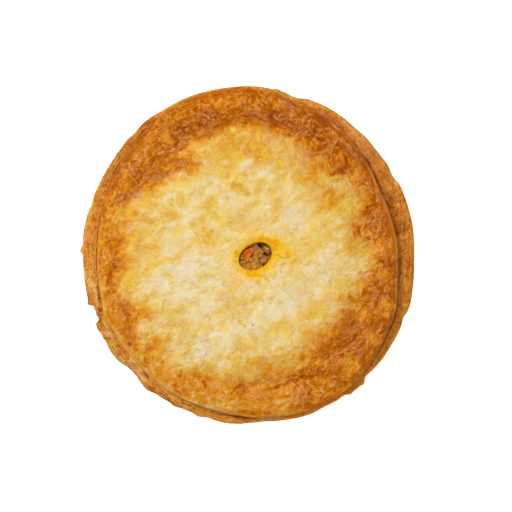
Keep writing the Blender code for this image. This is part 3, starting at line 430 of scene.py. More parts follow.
# Hairline creases in the pale middle
HAIRLINES = (
    ((-53, -23), (-50, -19), (-44, -18), (-37, -20)), ((-57, -30), (-58, -34), (-60, -39)),
    ((-40, -17), (-36, -22), (-32, -22), (-31, -26), (-28, -24)),
    ((-56, -61), (-59, -66), (-52, -66)), ((32, -3), (40, -6), (45, -5), (48, -8), (50, -4)),
    ((62, -7), (64, -12)), ((33, -27), (42, -26), (45, -28)), ((-71, -57), (-60, -50), (-48, -43)),
    ((-48, -70), (-40, -66), (-33, -65)), ((-41, -62), (-30, -58), (-18, -56)),
    ((38, -15), (42, -18), (45, -17)), ((22, -22), (28, -26), (30, -31)), ((-30, -13), (-20, -17)),
    ((10, -31), (18, -29), (24, -33)), ((-78, -50), (-77, -56), (-72, -58)),
    ((-24, -24), (-20, -21), (-16, -22)), ((52, -12), (56, -15), (57, -20)),
)
# Dull greyish patches: (from x, y, to x, y, half width)
DRY_SMEARS = (
    (-91.5, -27, -89.5, -35, 1.2), (-76, -51, -69, -50, 3.2), (-44, 78, -37, 75, 3.0),
    (-36, -85, -34, -88, 2.0), (31, -97, 36, -99, 2.2), (-56, -77, -52, -80, 2.0),
    (56, 75, 60, 77, 1.6), (66, -52, 76, -50, 2.0), (-33, 85, -26, 88, 2.6), (80, 24, 84, 22, 2.0),
)
# Fat-soaked yellow smears round the vent: (from x, y, to x, y, half width, strength)
BUTTER_SMEARS = (
    (17.5, 5.5, 18.5, 10.0, 2.2, 0.7), (10, 11.6, 15, 10.8, 1.5, 0.5),
    (0.5, -13.4, 6.5, -13.2, 2.0, 0.8), (10.5, -11.0, 15.5, -6.5, 1.4, 0.5),
    (-9.0, 2.0, -9.4, -5.0, 1.3, 0.5), (19, 1.5, 22, 0.0, 1.2, 0.4),
    (22.0, -2.5, 27, -2.0, 1.4, 0.4), (1.0, 13.5, 8.0, 14.0, 2.0, 0.5),
    (27, 0.5, 31, -1.0, 2.4, 0.5), (20, 8, 27, 6, 3.5, 0.3), (-4.0, 16.0, 2.0, 20.0, 3.5, 0.25),
    (25.5, 3.0, 28, 0.5, 1.6, 0.4), (-3.5, -12.4, -8.0, -10.0, 1.4, 0.4),
)
# Thin pale ridges in the fat, and thin brown lines: (points, half width)
BUTTER_RIDGES = (
    (((13.5, 8.6), (16.8, 6.2), (18.6, 2.6), (20.6, 0.2)), 0.55),
    (((16.8, -7.0), (18.4, -4.0), (20.2, -1.6), (23.0, -4.2), (26.0, -4.0)), 0.55),
    (((18.0, 1.4), (20.8, 0.9), (24.2, 1.4)), 0.45), (((13.5, -10.5), (9.0, -13.4)), 0.5),
)
BUTTER_CREASES = (
    (((19.8, 0.8), (21.4, -0.9), (24.2, -1.8), (27.0, -1.6)), 0.35),
    (((16.6, -8.0), (20.0, -7.2), (25.0, -5.6)), 0.35),
)
SMEAR_WEIGHT = 0.85
DARKEST = 0.92  # browner places than this are held back
PEPPER = (2.7, -48.0, 0.7)  # a peppercorn speck: x, y, radius

# Noise that follows an outline reads these millimetres of arc for a radian
RIM_ARC = 110.0
LID_ARC = 100.0
WALL_ARC = 90.0
BORDER_ARC = 60.0


def smooth_step(share):
    """0 below 0, 1 above 1, and a smooth rise between."""
    share = np.clip(share, 0.0, 1.0)
    return share * share * (3.0 - 2.0 * share)


def lobe(degrees, centre, half_width):
    """A smooth hump of height 1 round a closed outline."""
    gap = (degrees - centre + 180.0) % 360.0 - 180.0
    hump = np.cos(np.pi * gap / (2.0 * half_width)) ** 2
    return np.where(np.abs(gap) < half_width, hump, 0.0)


def outline(radius, lobes, angle):
    degrees = np.degrees(angle)
    return radius + sum(out * lobe(degrees, at, half) for at, half, out in lobes)


def rim_edge(angle):
    return outline(RIM_RADIUS, RIM_LOBES, angle)


def lid_edge(angle):
    return outline(LID_RADIUS, LID_LOBES, angle)


def vent_share(x, y):
    """1 on the vent's outline, less inside it and more outside it."""
    along = (x - VENT_CENTRE[0]) * math.cos(VENT_TILT) + (y - VENT_CENTRE[1]) * math.sin(VENT_TILT)
    across = (y - VENT_CENTRE[1]) * math.cos(VENT_TILT) - (x - VENT_CENTRE[0]) * math.sin(VENT_TILT)
    return np.hypot(along / VENT_HALF_LENGTH, across / VENT_HALF_WIDTH)


def vent_point(angle):
    """The point of the vent's outline that lies at an angle from the vent's centre."""
    reach = 1.0 / vent_share(VENT_CENTRE[0] + np.cos(angle), VENT_CENTRE[1] + np.sin(angle))
    return VENT_CENTRE[0] + reach * np.cos(angle), VENT_CENTRE[1] + reach * np.sin(angle)


def field(x, y, size, layer):
    """Smooth gradient noise of about -1 to 1 whose lumps are about size across. The number
    of the layer picks the pattern."""
    x, y = x / size, y / size
    column, row = np.floor(x).astype(int), np.floor(y).astype(int)
    u, v = x - column, y - row

    def corner(right, up):
        draw = LATTICE[(LATTICE[(column + right + 37 * layer) & 255] + row + up) & 255]
        slope = draw * (2.0 * np.pi / 256.0)
        return np.cos(slope) * (u - right) + np.sin(slope) * (v - up)

    across, upward = smooth_step(u), smooth_step(v)
    low = corner(0, 0) + across * (corner(1, 0) - corner(0, 0))
    high = corner(0, 1) + across * (corner(1, 1) - corner(0, 1))
    return 1.4 * (low + upward * (high - low))


def cloud(x, y, size, layer, octaves=3):
    """Noise with finer and finer lumps, about -1 to 1."""
    return sum(
        0.55**level * field(x, y, size / 2.0**level, layer + level) for level in range(octaves)
    )


def swirl(x, y, size, layer, curl=1.0):
    """Noise drawn out into curling streaks, by pushing the ground about with other noise."""
    push_x = cloud(x, y, 1.3 * size, layer, 2)
    push_y = cloud(x, y, 1.3 * size, layer + 4, 2)
    return cloud(x + curl * size * push_x, y + curl * size * push_y, size, layer + 8, 3)


def ridge(noise, width):
    """1 along the lines where noise is 0, falling off beside them."""
    return np.exp(-((noise / width) ** 2))


def blisters():
    """The solids' air blisters in the lid's border: (x, y, radius, height) of each."""
    draw = random.Random(BLISTER_SEED)
    found = []
    for number in range(BLISTER_COUNT):
        angle = 2.0 * math.pi * (number + draw.uniform(-0.35, 0.35)) / BLISTER_COUNT
        reach = float(lid_edge(angle)) - draw.uniform(7.0, 19.0)
        size = draw.uniform(5.0, 9.0)
        height = draw.uniform(0.5, 1.3)
        found.append((reach * math.cos(angle), reach * math.sin(angle), size, height))
    return found


BLISTERS = blisters()


def lid_underside(reach):
    rise = smooth_step((CROWN_EDGE_RADIUS - reach) / CROWN_RUN)
    return SEAM_HEIGHT + FIT_GAP + CROWN_RISE * rise


def lid_form(x, y):
    """Height of the lid's upper face, as in the solids."""
    reach, angle = np.hypot(x, y), np.arctan2(y, x)
    inward = lid_edge(angle) - reach
    border = smooth_step((reach - BORDER_START) / BORDER_RUN)
    height = lid_underside(reach) + LID_CENTRE_THICKNESS
    height = height + border * (LID_BORDER_THICKNESS - LID_CENTRE_THICKNESS)
    across = np.clip((reach - PUFF_INNER_RADIUS) / PUFF_WIDTH, 0.0, 1.0)
    height = height + PUFF_HEIGHT * np.sin(np.pi * across) ** 0.8
    for at, half, radius, depth in FOLDS:
        valley = np.exp(-(((reach - radius) / FOLD_WIDTH) ** 2))
        height = height - depth * valley * lobe(np.degrees(angle), at, half)
    for centre_x, centre_y, size, rise in BLISTERS:
        near = np.clip(1.0 - np.hypot(x - centre_x, y - centre_y) / size, 0.0, 1.0)
        height = height + rise * smooth_step(near)
    height = height + 0.7 * field(x, y, 31.0, 1) + 0.45 * field(x, y, 14.0, 2)
    rounding = np.clip(1.0 - inward / LID_EDGE_ROUNDING, 0.0, 1.0)
    height = height - LID_EDGE_DROP * (1.0 - np.sqrt(1.0 - rounding**2))
    past_vent = (vent_share(x, y) - 1.0) * VENT_HALF_WIDTH
    return height - VENT_LIP * smooth_step(1.0 - past_vent / VENT_LIP_WIDTH)


def segment_distance(x, y, start, end):
    """Distance of each point from a straight run between two places."""
    run_x, run_y = end[0] - start[0], end[1] - start[1]
    share = ((x - start[0]) * run_x + (y - start[1]) * run_y) / (run_x**2 + run_y**2 + 1e-9)
    share = np.clip(share, 0.0, 1.0)
    return np.hypot(x - start[0] - share * run_x, y - start[1] - share * run_y)


def line_distance(x, y, points):
    return np.minimum.reduce([segment_distance(x, y, a, b) for a, b in zip(points, points[1:])])


def smears(x, y, marks):
    """The sum of soft uneven smears: (from x, y, to x, y, half width, strength) each."""
    uneven_x = x + 2.6 * swirl(x, y, 5.5, 200, 0.6)
    uneven_y = y + 2.6 * swirl(x, y, 5.5, 214, 0.6)
    total = np.zeros_like(x)
    for start_x, start_y, end_x, end_y, half, strength in marks:
        gap = segment_distance(uneven_x, uneven_y, (start_x, start_y), (end_x, end_y))
        total += strength * smooth_step(1.35 - 0.75 * gap / half)
    return total


def round_values(points, degrees):
    """Values given at some angles, with straight runs between them."""
    angles, values = zip(*points)
    return np.interp(degrees, angles, values, period=360.0)


def in_band(x, y):
    """0 in the lid's pale middle, rising to 1 in its browned border."""
    reach, degrees = np.hypot(x, y), np.degrees(np.arctan2(y, x)) % 360.0
    depth = reach - round_values(BROWN_EDGE, degrees)
    depth = depth + 4.4 * swirl(x, y, 12.0, 20, 0.8) + 1.8 * swirl(x, y, 4.5, 30, 0.8)
    return smooth_step(depth / BROWN_RUN + 0.5)


def lid_wrinkles(x, y, band):
    """The crumpled skin of the lid's border: the height of its rounded ridges, from 0 to
    about 1, and how deep it creases between them."""
    reach, angle = np.hypot(x, y), np.arctan2(y, x)
    band = np.maximum(band, 0.45 * smooth_step((reach - 56.0) / 18.0))
    near_edge = smooth_step((lid_edge(angle) - reach - 1.0) / 3.0)
    around = angle * 62.0
    flow = swirl(around, 1.15 * reach, 6.5, 41, 1.2)
    winding = (1.0 - np.minimum(np.abs(flow) / 0.30, 1.0)) ** 1.5
    broken = smooth_step(0.62 + 1.5 * field(x, y, 7.0, 66))
    pillow = lobe(np.degrees(angle), 289, 16) * smooth_step((reach - 91.0) / 3.0)
    fan = swirl(angle * LID_ARC + 0.25 * reach, reach / 5.0, 4.2, 75, 0.6)
    radial = (1.0 - np.minimum(np.abs(fan) / 0.35, 1.0)) ** 1.5
    puffed = np.abs(swirl(x, y, 9.0, 57, 0.9))
    creases = 1.0 - smooth_step(puffed / 0.16)
    ridges = winding * broken * (1.0 - pillow) + 0.9 * pillow * radial
    return band * near_edge * ridges, band * near_edge * creases * (1.0 - pillow)


def lid_baking(x, y, band, crumple, wrinkle, creases):
    """Browning of the lid, before its standing folds and its edge."""
    degrees = np.degrees(np.arctan2(y, x)) % 360.0
    streak_x = x * 0.87 + y * 0.5
    streak_y = (y * 0.87 - x * 0.5) * 1.9
    uneven = 0.20 - 0.07 * smooth_step(-y / 20.0)
    middle = MIDDLE_BROWNING + uneven * swirl(streak_x, streak_y, 19.0, 60, 0.6)
    middle = middle + 0.09 * swirl(streak_x, streak_y, 8.0, 64, 0.8)
    middle = middle + 0.11 * smooth_step((swirl(x, y, 8.0, 260, 0.9) - 0.38) / 0.3)
    gold = GOLD_BASE + sum(more * lobe(degrees, at, half) for at, half, more in GOLD_ZONE)
    middle = middle + gold * smooth_step((np.hypot(x, y) - GOLD_START) / GOLD_RUN)
    border = round_values(BORDER_BROWNING, degrees) + 0.08
    border = border + 0.23 * swirl(x, y, 13.0, 90, 0.9) + 0.14 * crumple
    border = border + 0.16 * swirl(x, y, 4.4, 97, 0.9) - 0.12 * wrinkle + 0.08 * creases
    bake = middle + band * (border - middle) + SMEAR_WEIGHT * smears(x, y, SMEARS)
    return np.minimum(bake, DARKEST + (bake - DARKEST) * 0.4)


def cut_strip(angle, reach):
    """Where the lid's cut edge shows, and the lines of its layers there."""
    degrees = np.degrees(angle) % 360.0
    inward = lid_edge(angle) - reach
    cut_side = np.maximum(lobe(degrees, 225, 80), 0.6 * lobe(degrees, 15, 75))
    strip = smooth_step((1.4 + 1.4 * cut_side - inward) / 0.7) * (0.25 + 0.75 * cut_side)
    lines = 0.5 + 0.5 * np.sin(inward * 5.5 + 3.0 * field(angle * 35.0, inward, 4.0, 118))
    return strip, lines


def buttering(x, y, past_vent):
    """How far fat has soaked into the lid round the vent."""
    past = np.maximum(past_vent, 0.0)
    direction = np.degrees(np.arctan2(y - VENT_CENTRE[1], x - VENT_CENTRE[0]))
    weaker = np.maximum(lobe(direction, 202, 62), 0.85 * lobe(direction, 92, 36))
    spread = 7.0 + 2.5 * field(x, y, 9.0, 80)
    halo = 0.45 * np.exp(-past / 1.5) + 0.85 * (1.0 - 0.42 * weaker) * np.exp(-past / spread)
    butter = halo * (0.98 + 0.36 * cloud(x, y, 4.5, 82, 2)) - 0.06
    wander = 1.2 * cloud(x, y, 3.5, 86, 2)
    for start_x, start_y, end_x, end_y, half, strength in BUTTER_SMEARS:
        gap = segment_distance(x + wander, y - wander, (start_x, start_y), (end_x, end_y))
        butter = butter + 0.75 * strength * ridge(gap, 1.3 * half)
    return butter


def hair_cracks(x, y):
    """1 or more along the hairline cracks, falling off beside them."""
    hair = np.zeros_like(x)
    for points, half in BUTTER_CREASES:
        hair = hair + 1.2 * ridge(line_distance(x, y, points), half)
    bent_x, bent_y = x + 1.5 * cloud(x, y, 4.0, 112), y + 1.5 * cloud(x, y, 4.0, 116)
    for points in HAIRLINES:
        hair = np.maximum(hair, ridge(line_distance(bent_x, bent_y, points), 0.42))
    return hair


def lid_looks(x, y):
    """What the lid's material reads at each point of its upper face, and its fine relief."""
    reach, angle = np.hypot(x, y), np.arctan2(y, x)
    degrees = np.degrees(angle) % 360.0
    band = in_band(x, y)
    wrinkle, creases = lid_wrinkles(x, y, band)
    around = angle * BORDER_ARC
    crumple = swirl(around, reach, 7.0, 70, 1.1)
    bake = lid_baking(x, y, band, crumple, wrinkle, creases)
    relief = 0.3 * cloud(x, y, 7.0, 100) + 0.85 * wrinkle - 0.5 * creases
    relief = relief + band * (0.25 * cloud(x, y, 4.0, 104) - 0.65 * crumple)
    # Painted highlight: a peach sheen on the border's ridges and in glossy patches.
    sheen = smooth_step(1.6 * swirl(around, 1.2 * reach, 7.5, 240, 1.0) - 0.25)
    ridge_highlight = 0.95 * wrinkle**1.3 + 0.48 * band * sheen
    wavy_x, wavy_y = x + 1.4 * field(x, y, 5.0, 110), y + 1.4 * field(x, y, 5.0, 113)
    for points, half, height, more in FOLD_LINES:
        gap = line_distance(wavy_x, wavy_y, points)
        share = ridge(gap, 0.8 * half)
        beside = ridge(gap, 2.2 * half) - share
        relief = relief + height * (share - 0.4 * beside)
        bake = bake + more * (0.7 * share - 0.35 * beside)
        # Painted highlight along the raised ridges.
        if more < 0.0:
            ridge_highlight = ridge_highlight + 0.35 * share
    outermost = smooth_step((5.5 - (lid_edge(angle) - reach)) / 2.5)
    bake = bake + outermost * (0.12 * lobe(degrees, 138, 34) - 0.11 * lobe(degrees, 234, 30))
    bake = bake + outermost * (0.13 * lobe(degrees, 351, 9) - 0.08 * lobe(degrees, 14, 10))
    strip, lines = cut_strip(angle, reach)
    relief = relief + 0.22 * strip * lines
    bake = bake + strip * (0.10 - 0.25 * lines)
    bake = bake + 0.16 * strip * cloud(angle * LID_ARC, 2.0 * reach, 3.0, 117, 2)
    dry_strip = strip * (0.40 + 0.35 * field(around, 1.6 * reach, 4.0, 119))
    past_vent = (vent_share(x, y) - 1.0) * VENT_HALF_WIDTH
    butter = buttering(x, y, past_vent)
    for points, half in BUTTER_RIDGES:
        share = ridge(line_distance(x, y, points), half)
        butter = butter - 0.35 * share
        relief = relief + 0.35 * share
    hair = hair_cracks(x, y)
    pepper = np.hypot(x - PEPPER[0], y - PEPPER[1]) < PEPPER[2]
    tone = swirl(x, y, 13.0, 284, 0.9)
    lower = smooth_step((18.0 - y + 0.6 * x) / 30.0) * (1.0 - smooth_step(2.5 * band))
    return {
        "relief": relief - 0.15 * hair,
        "bake": bake,
        "browned": band,
        "pale": np.clip(ridge_highlight, 0.0, 1.0),
        "butter": np.clip(butter, 0.0, 1.0),
        "crack": np.clip(0.32 * hair, 0.0, 1.0),
        "dark": np.clip(0.8 * pepper + 0.2 * strip * (1.0 - lines) ** 2, 0.0, 1.0),
        "dry": np.clip(smears(x, y, [(*mark, 0.22) for mark in DRY_SMEARS]) + dry_strip, 0, 1),
        "beige": smooth_step(1.4 * tone - 0.1) * (1.0 - band),
        "yellow": smooth_step(-1.4 * tone - 0.1) * (1.0 - band),
        "cracked": lower * smooth_step((past_vent - 2.0) / 6.0),
    }


def to_world(points):
    """Rows of x, y, z in millimetres from the pie's axis, as metres in the frame. Nothing
    stands out of the solids' box."""
    places = (np.asarray(points) + (PIE_AXIS[0], PIE_AXIS[1], 0.0)) * MM
    return np.clip(places, CAD_BOX[0], CAD_BOX[1])


def shell(name, rings, looks, first_pole=None, last_pole=None):
    """A mesh from rings of equally many points, each joined to the next. A shell without
    poles joins its last ring to its first. looks holds values for each ring and point."""
    count, steps = len(rings), len(rings[0])
    points = [np.concatenate(rings)]
    grid = np.arange(count * steps).reshape(count, steps)
    low, high = grid[:-1], grid[1:]
    if first_pole is None:
        low, high = grid, np.roll(grid, -1, axis=0)
    quads = np.stack([low, np.roll(low, -1, axis=1), np.roll(high, -1, axis=1), high], axis=-1)
    faces = quads.reshape(-1, 4).tolist()
    if first_pole is not None:
        points += [[first_pole], [last_pole]]
        start, end = count * steps, count * steps + 1
        faces += [(start, (i + 1) % steps, i) for i in range(steps)]
        last = grid[-1]
        faces += [(end, last[i], last[(i + 1) % steps]) for i in range(steps)]
    mesh = bpy.data.meshes.new(name)
    mesh.from_pydata(to_world(np.concatenate(points)).tolist(), [], faces)
    poles = 0 if first_pole is None else 2
    for key, values in looks.items():
        layer = mesh.attributes.new(key, "FLOAT", "POINT")
        flat = np.concatenate([np.asarray(values).ravel(), np.zeros(poles)])
        if poles:
            flat[-2], flat[-1] = flat[0], flat[-3]
        layer.data.foreach_set("value", flat)
    obj = bpy.data.objects.new(name, mesh)
    bpy.context.scene.collection.objects.link(obj)
    bm = bmesh.new()
    bm.from_mesh(mesh)
    bmesh.ops.recalc_face_normals(bm, faces=bm.faces)
    bm.to_mesh(mesh)
    bm.free()
    mesh.shade_smooth()
    return obj


class Rings:
    """The rings of a shell under construction, with what its material reads on them."""

    def __init__(self, angle, plain):
        self.angle, self.plain = angle, plain
        self.points = []
        self.values = {key: [] for key in plain}

    def add(self, x, y, height, **given):
        self.points.append(np.column_stack([x, y, height + 0.0 * self.angle]))
        for key, value in {**self.plain, **given}.items():
            self.values[key].append(value + 0.0 * self.angle)

    def add_round(self, reach, height, **given):
        """A ring round the pie's axis."""
        reach = reach + 0.0 * self.angle
        self.add(reach * np.cos(self.angle), reach * np.sin(self.angle), height, **given)


def linear(red, green, blue):
    """A display colour of 0 to 255 as linear light."""
    shares = [value / 255.0 for value in (red, green, blue)]
    return tuple(s / 12.92 if s < 0.04045 else ((s + 0.055) / 1.055) ** 2.4 for s in shares)


LID_STEPS = 880
LID_SIDE_ROWS = 9
LID_LAYERS = 3.0
INNER_RINGS = 60  # from the vent to where the lid begins to brown, closest at the vent
OUTER_RINGS = 76  # from there to the edge
INNER_SHARE = 0.56
UNDERSIDE_RINGS = (97.0, 90.0, 81.0, 72.0, 62.0, 34.0)
# Rings of the vent's wall: (lean, where negative into the opening, and share of its height)
VENT_WALL_RINGS = ((0.004, 0.0), (-1.0, 0.4), (-0.4, 0.8))


def add_lid_side(rings, edge, top):
    """The lid's layered edge, from its upper face down to the rim."""
    angle, degrees = rings.angle, np.degrees(rings.angle)
    low = lid_underside(edge)
    cut = np.maximum(lobe(degrees, 225, 80), 0.8 * lobe(degrees, 25, 50))
    seam_shade = lobe(degrees, -26, 20)
    for row in np.linspace(0.0, 1.0, LID_SIDE_ROWS + 1)[1:]:
        bend = 2.0 * field(angle * 30, row, 4.0, 111)
        layer = 0.5 + 0.5 * np.sin(row * 2.0 * np.pi * LID_LAYERS + bend)
        out = LAYER_SPREAD * row + 0.35 * (layer - 1.0) * smooth_step(row / 0.2)
        streak = cloud(angle * LID_ARC, row * 6.0 + 0.0 * angle, 2.0, 190)
        # Painted shade: the side is darker down towards the rim, less where the cut edge shows and
        # most at the lower right; it is also darker between its layers.
        dark = (0.10 + 0.3 * row + 0.2 * (1.0 - layer)) * (1.0 - 0.8 * cut) + 0.35 * seam_shade * row
        bake = 0.62 + 0.25 * layer - 0.2 * cut + 0.16 * streak
        rings.add_round(edge + out - BOX_MARGIN * row, top + row * (low - top),
                        bake=bake, dry=0.25 + 0.6 * cut, dark=dark)


def add_vent_wall(rings, vent, edge, top):
    """The vent's wall, from the lid's underside up towards its lip."""
    degrees = np.degrees(rings.angle)
    # Painted shade: the wall at the upper left, where the lid's lip shades it, is painted darker
    # and less yellow with fat.
    shaded_side = lobe(degrees, 140, 70)
    inward = 0.009 * lobe(degrees, 135, 85)
    for share, height_share in VENT_WALL_RINGS:
        lean = np.maximum(share, 0.0) + np.minimum(share, 0.0) * inward
        x, y = (start + lean * (end - start) for start, end in zip(vent, edge))
        low = lid_underside(np.hypot(x, y))
        rings.add(x, y, low + height_share * (top - low),
                  bake=0.7, butter=0.8 - 0.2 * shaded_side, dark=0.04 + 0.24 * shaded_side)


def make_lid():
    angle = np.linspace(0.0, 2.0 * np.pi, LID_STEPS, endpoint=False)
    vent_x, vent_y = vent_point(angle)
    wobble = 0.35 * (1.0 + field(angle * LID_ARC, 0.0 * angle, 3.0, 110))
    edge = lid_edge(angle) - BOX_MARGIN - 0.5 * wobble
    edge_x, edge_y = edge * np.cos(angle), edge * np.sin(angle)
    inner = INNER_SHARE * np.linspace(0.0, 1.0, INNER_RINGS) ** 1.4
    shares = np.concatenate([inner, np.linspace(INNER_SHARE, 1.0, OUTER_RINGS)[1:]])
    x = vent_x + shares[:, None] * (edge_x - vent_x)
    y = vent_y + shares[:, None] * (edge_y - vent_y)
    looks = lid_looks(x, y)
    relief = looks.pop("relief")
    top = lid_form(x, y) + relief * smooth_step(shares[:, None] / 0.03)
    rings = Rings(angle, dict.fromkeys(looks, 0.0))
    for i in range(len(shares)):
        rings.add(x[i], y[i], top[i], **{key: value[i] for key, value in looks.items()})
    add_lid_side(rings, edge, top[-1])
    for reach in UNDERSIDE_RINGS:
        rings.add_round(reach, lid_underside(reach), bake=0.5)
    add_vent_wall(rings, (vent_x, vent_y), (edge_x, edge_y), top[0])
    return shell("lid_fine", rings.points, rings.values)


CRUST_STEPS = 720
CRUST_RIM_RINGS = 46
CRUST_SIDE_ROWS = 8
CRUST_LAYERS = 2.0
CRUST_WALL_ROWS = 22
CRUST_FOOT_RINGS = 30
# What the crust's material reads where nothing else is given
PLAIN_CRUST = {"bake": 0.5, "pale": 0.0, "dark": 0.0, "dry": 0.0, "painted_light": 0.0, "flaky": 0.0}
DROOP_START = 101.5
CHIP = (200.6, 3.3, 113.1)  # angle, half width and inner radius of the chip in the rim
RIM_BROWNING = (
    (0, 0.77), (14, 0.84), (27, 0.79), (41, 0.75), (55, 0.72), (65, 0.68), (75, 0.68),
    (90, 0.74), (106, 0.72), (115, 0.60), (128, 0.80), (142, 0.82), (150, 0.74), (163, 0.66),
    (172, 0.68), (180, 0.58), (190, 0.55), (200, 0.54), (209, 0.52), (221, 0.47), (230, 0.56),
    (237, 0.64), (249, 0.66), (256, 0.62), (264, 0.78), (272, 0.52), (290, 0.54), (303, 0.56),
    (314, 0.70), (325, 0.72), (337, 0.84), (345, 0.74),
)
# Browner stretches round the rim, or paler where negative, over its full width and in its
# outermost part: (angle, half width, more browning)
RIM_TONES = (
    (148, 12, 0.12), (198, 10, 0.12), (272, 8, 0.12), (188, 6, -0.14), (207, 6, -0.14),
    (263, 5, -0.14), (229, 5, -0.14),
)
OUTER_TONES = ((222, 50, 0.12), (50, 62, -0.17), (150, 50, -0.17), (60, 5, 0.22))
HOLE = (-102.4, -38.6, 0.8)  # a small hole beside the lid: x, y, radius
FLAKE = ((-108.0, -19.0), (-106.0, -26.0), (-104.5, -35.0))  # a pale peeled layer
FLAKE_HALF_WIDTH = 1.5
# Places where the join between lid and rim gapes: each a run of points
SEAM_LINES = (
    ((-104.2, -21.0), (-103.6, -26.0), (-103.0, -32.5)), ((-89.0, -56.0), (-87.4, -61.0)),
    ((-71.0, -80.0), (-69.0, -84.0)), ((-66.0, 92.5), (-62.0, 95.0)),
    ((-88.5, 62.5), (-86.0, 67.0)), ((-20.0, -110.0), (-8.0, -111.5), (4.0, -111.8)),
    ((-47.0, -101.5), (-40.0, -104.5)), ((-72.5, -80.5), (-71.0, -83.0), (-69.0, -85.5)),
    ((-93.5, -50.0), (-92.0, -54.0), (-91.0, -56.5)), ((-80.5, 74.0), (-77.5, 78.5)),
    ((84.0, 63.5), (81.0, 67.5)), ((-74.0, 84.0), (-71.0, 88.0)),
)


# Brown stains of the rim: (points, half width)
RIM_STAINS = (
    (((96.5, 42.0), (99.0, 38.0), (99.5, 33.0)), 1.3), (((101.5, 20.5), (103.5, 15.0)), 1.6),
    (((107.5, -36.5), (104.0, -35.0)), 1.4), (((-79.5, -75.0), (-78.5, -75.4)), 0.7),
    (((104.6, -2.0), (105.4, -7.0), (105.0, -12.0)), 0.9), (((109.0, -14.0), (110.2, -14.6)), 0.7),
    (((-106.5, -12.0), (-105.0, -14.0)), 0.9), (((-96.0, -52.0), (-93.0, -53.5)), 0.8),
)
# Smears of deeper baking on the rim, or paler where negative: as in SMEARS
RIM_SMEARS = (
    (51, 99, 55, 97, 2.6, 0.20), (59, 93, 62, 90, 2.6, 0.20), (-76, 86, -71, 89, 2.6, 0.22),
    (-88, 75, -86, 75, 2.4, 0.18), (-93, -53, -92, -54, 2.4, 0.16), (-5, -113, -3, -113, 2.4, 0.18),
    (97, 42, 101, 33, 1.8, 0.14), (106, 20, 108, 19, 2.8, 0.16), (48, -107, 51, -107, 2.6, 0.10),
    (73, -92, 75, -91, 2.2, 0.14), (-101, 52, -100, 54, 2.4, 0.12), (-31, 113, -29, 112, 2, 0.12),
    (-109, -18, -107, -20, 2.2, 0.12), (109, -26, 110, -31, 2.2, 0.10),
    (-106, 5, -104, -3, 2.6, 0.10), (-101, -55, -98, -57, 2.4, -0.24),
    (-80, -76, -73, -87, 2.4, -0.18), (8, -113, 20, -113, 2, -0.16),
    (-14, -115, -12, -115, 2, -0.22), (101, 50, 103, 48, 2.4, -0.20),
    (105, 39, 107, 36, 2.4, -0.16), (112, 15, 113, 11, 2.2, -0.22), (73, 84, 78, 80, 2.8, -0.20),
    (67, 91, 71, 87, 2.4, -0.12), (-105, 16, -104, 13, 2.4, -0.18), (-114, 16, -113, 14, 2, -0.20),
    (-106, -27, -98, -28, 2.4, -0.14), (4, 111, 8, 113, 2.4, -0.18),
    (-22, 111, -12, 112, 2.2, -0.14), (106, -12, 108, -15, 2.2, -0.14), (104, 3, 109, 1, 2, -0.12),
    (-106, 45, -104, 40, 2.4, -0.12), (91, -70, 93, -68, 2.2, -0.10), (2, 110, 6, 111, 2.6, -0.16),
    (-21, 110, -15, 111, 2.4, -0.16), (12, -113, 18, -113, 2, -0.12),
    (-104, -34, -102, -36, 2.4, 0.14), (-110, -28, -109, -31, 2.4, 0.14),
    (73, -92, 75, -93, 2.2, 0.14), (-85, 70, -83, 74, 2.4, -0.14), (81, 77, 84, 77, 2.4, 0.14),
    (-70, 87, -60, 95, 2.2, -0.08), (110, 34, 113, 22, 1.6, -0.14), (-18, -111, -15, -112, 2, 0.12),
    (-64, -94, -60, -97, 2.4, 0.10),
)


def seam_line(x, y):
    """1 along the gaping stretches of the join, 0 away from them."""
    gap = np.minimum.reduce([line_distance(x, y, points) for points in SEAM_LINES])
    return np.exp(-((gap / (0.45 + 0.25 * field(x, y, 2.5, 124))) ** 2))


def flakiness(degrees):
    """How flaky the rim is, from 0 to 1, most of all at the lower left."""
    flaky = lobe(degrees, 218, 95) + 0.6 * lobe(degrees, 135, 45) + 0.4 * lobe(degrees, 15, 75)
    return np.clip(flaky, 0.0, 1.0)


def rim_outline(angle):
    """The rim's outer edge with its chip and its crumbling, never outside the solid's."""
    degrees = np.degrees(angle) % 360.0
    around, level = angle * RIM_ARC, 0.0 * angle
    edge = rim_edge(angle) - BOX_MARGIN
    crumble = 0.5 + 0.5 * field(around, level, 5.0, 120)
    rough = 0.15 + 0.6 * lobe(degrees, 225, 85)
    edge = edge - rough * crumble - 0.3 * rough * (1.0 + field(around, level, 1.6, 121))
    at, half, inner = CHIP
    gap = np.abs((degrees - at + 180.0) % 360.0 - 180.0)
    ragged = inner + 0.5 * cloud(around, level, 2.5, 126)
    return edge + (ragged - edge) * smooth_step((half - gap) / 0.5)


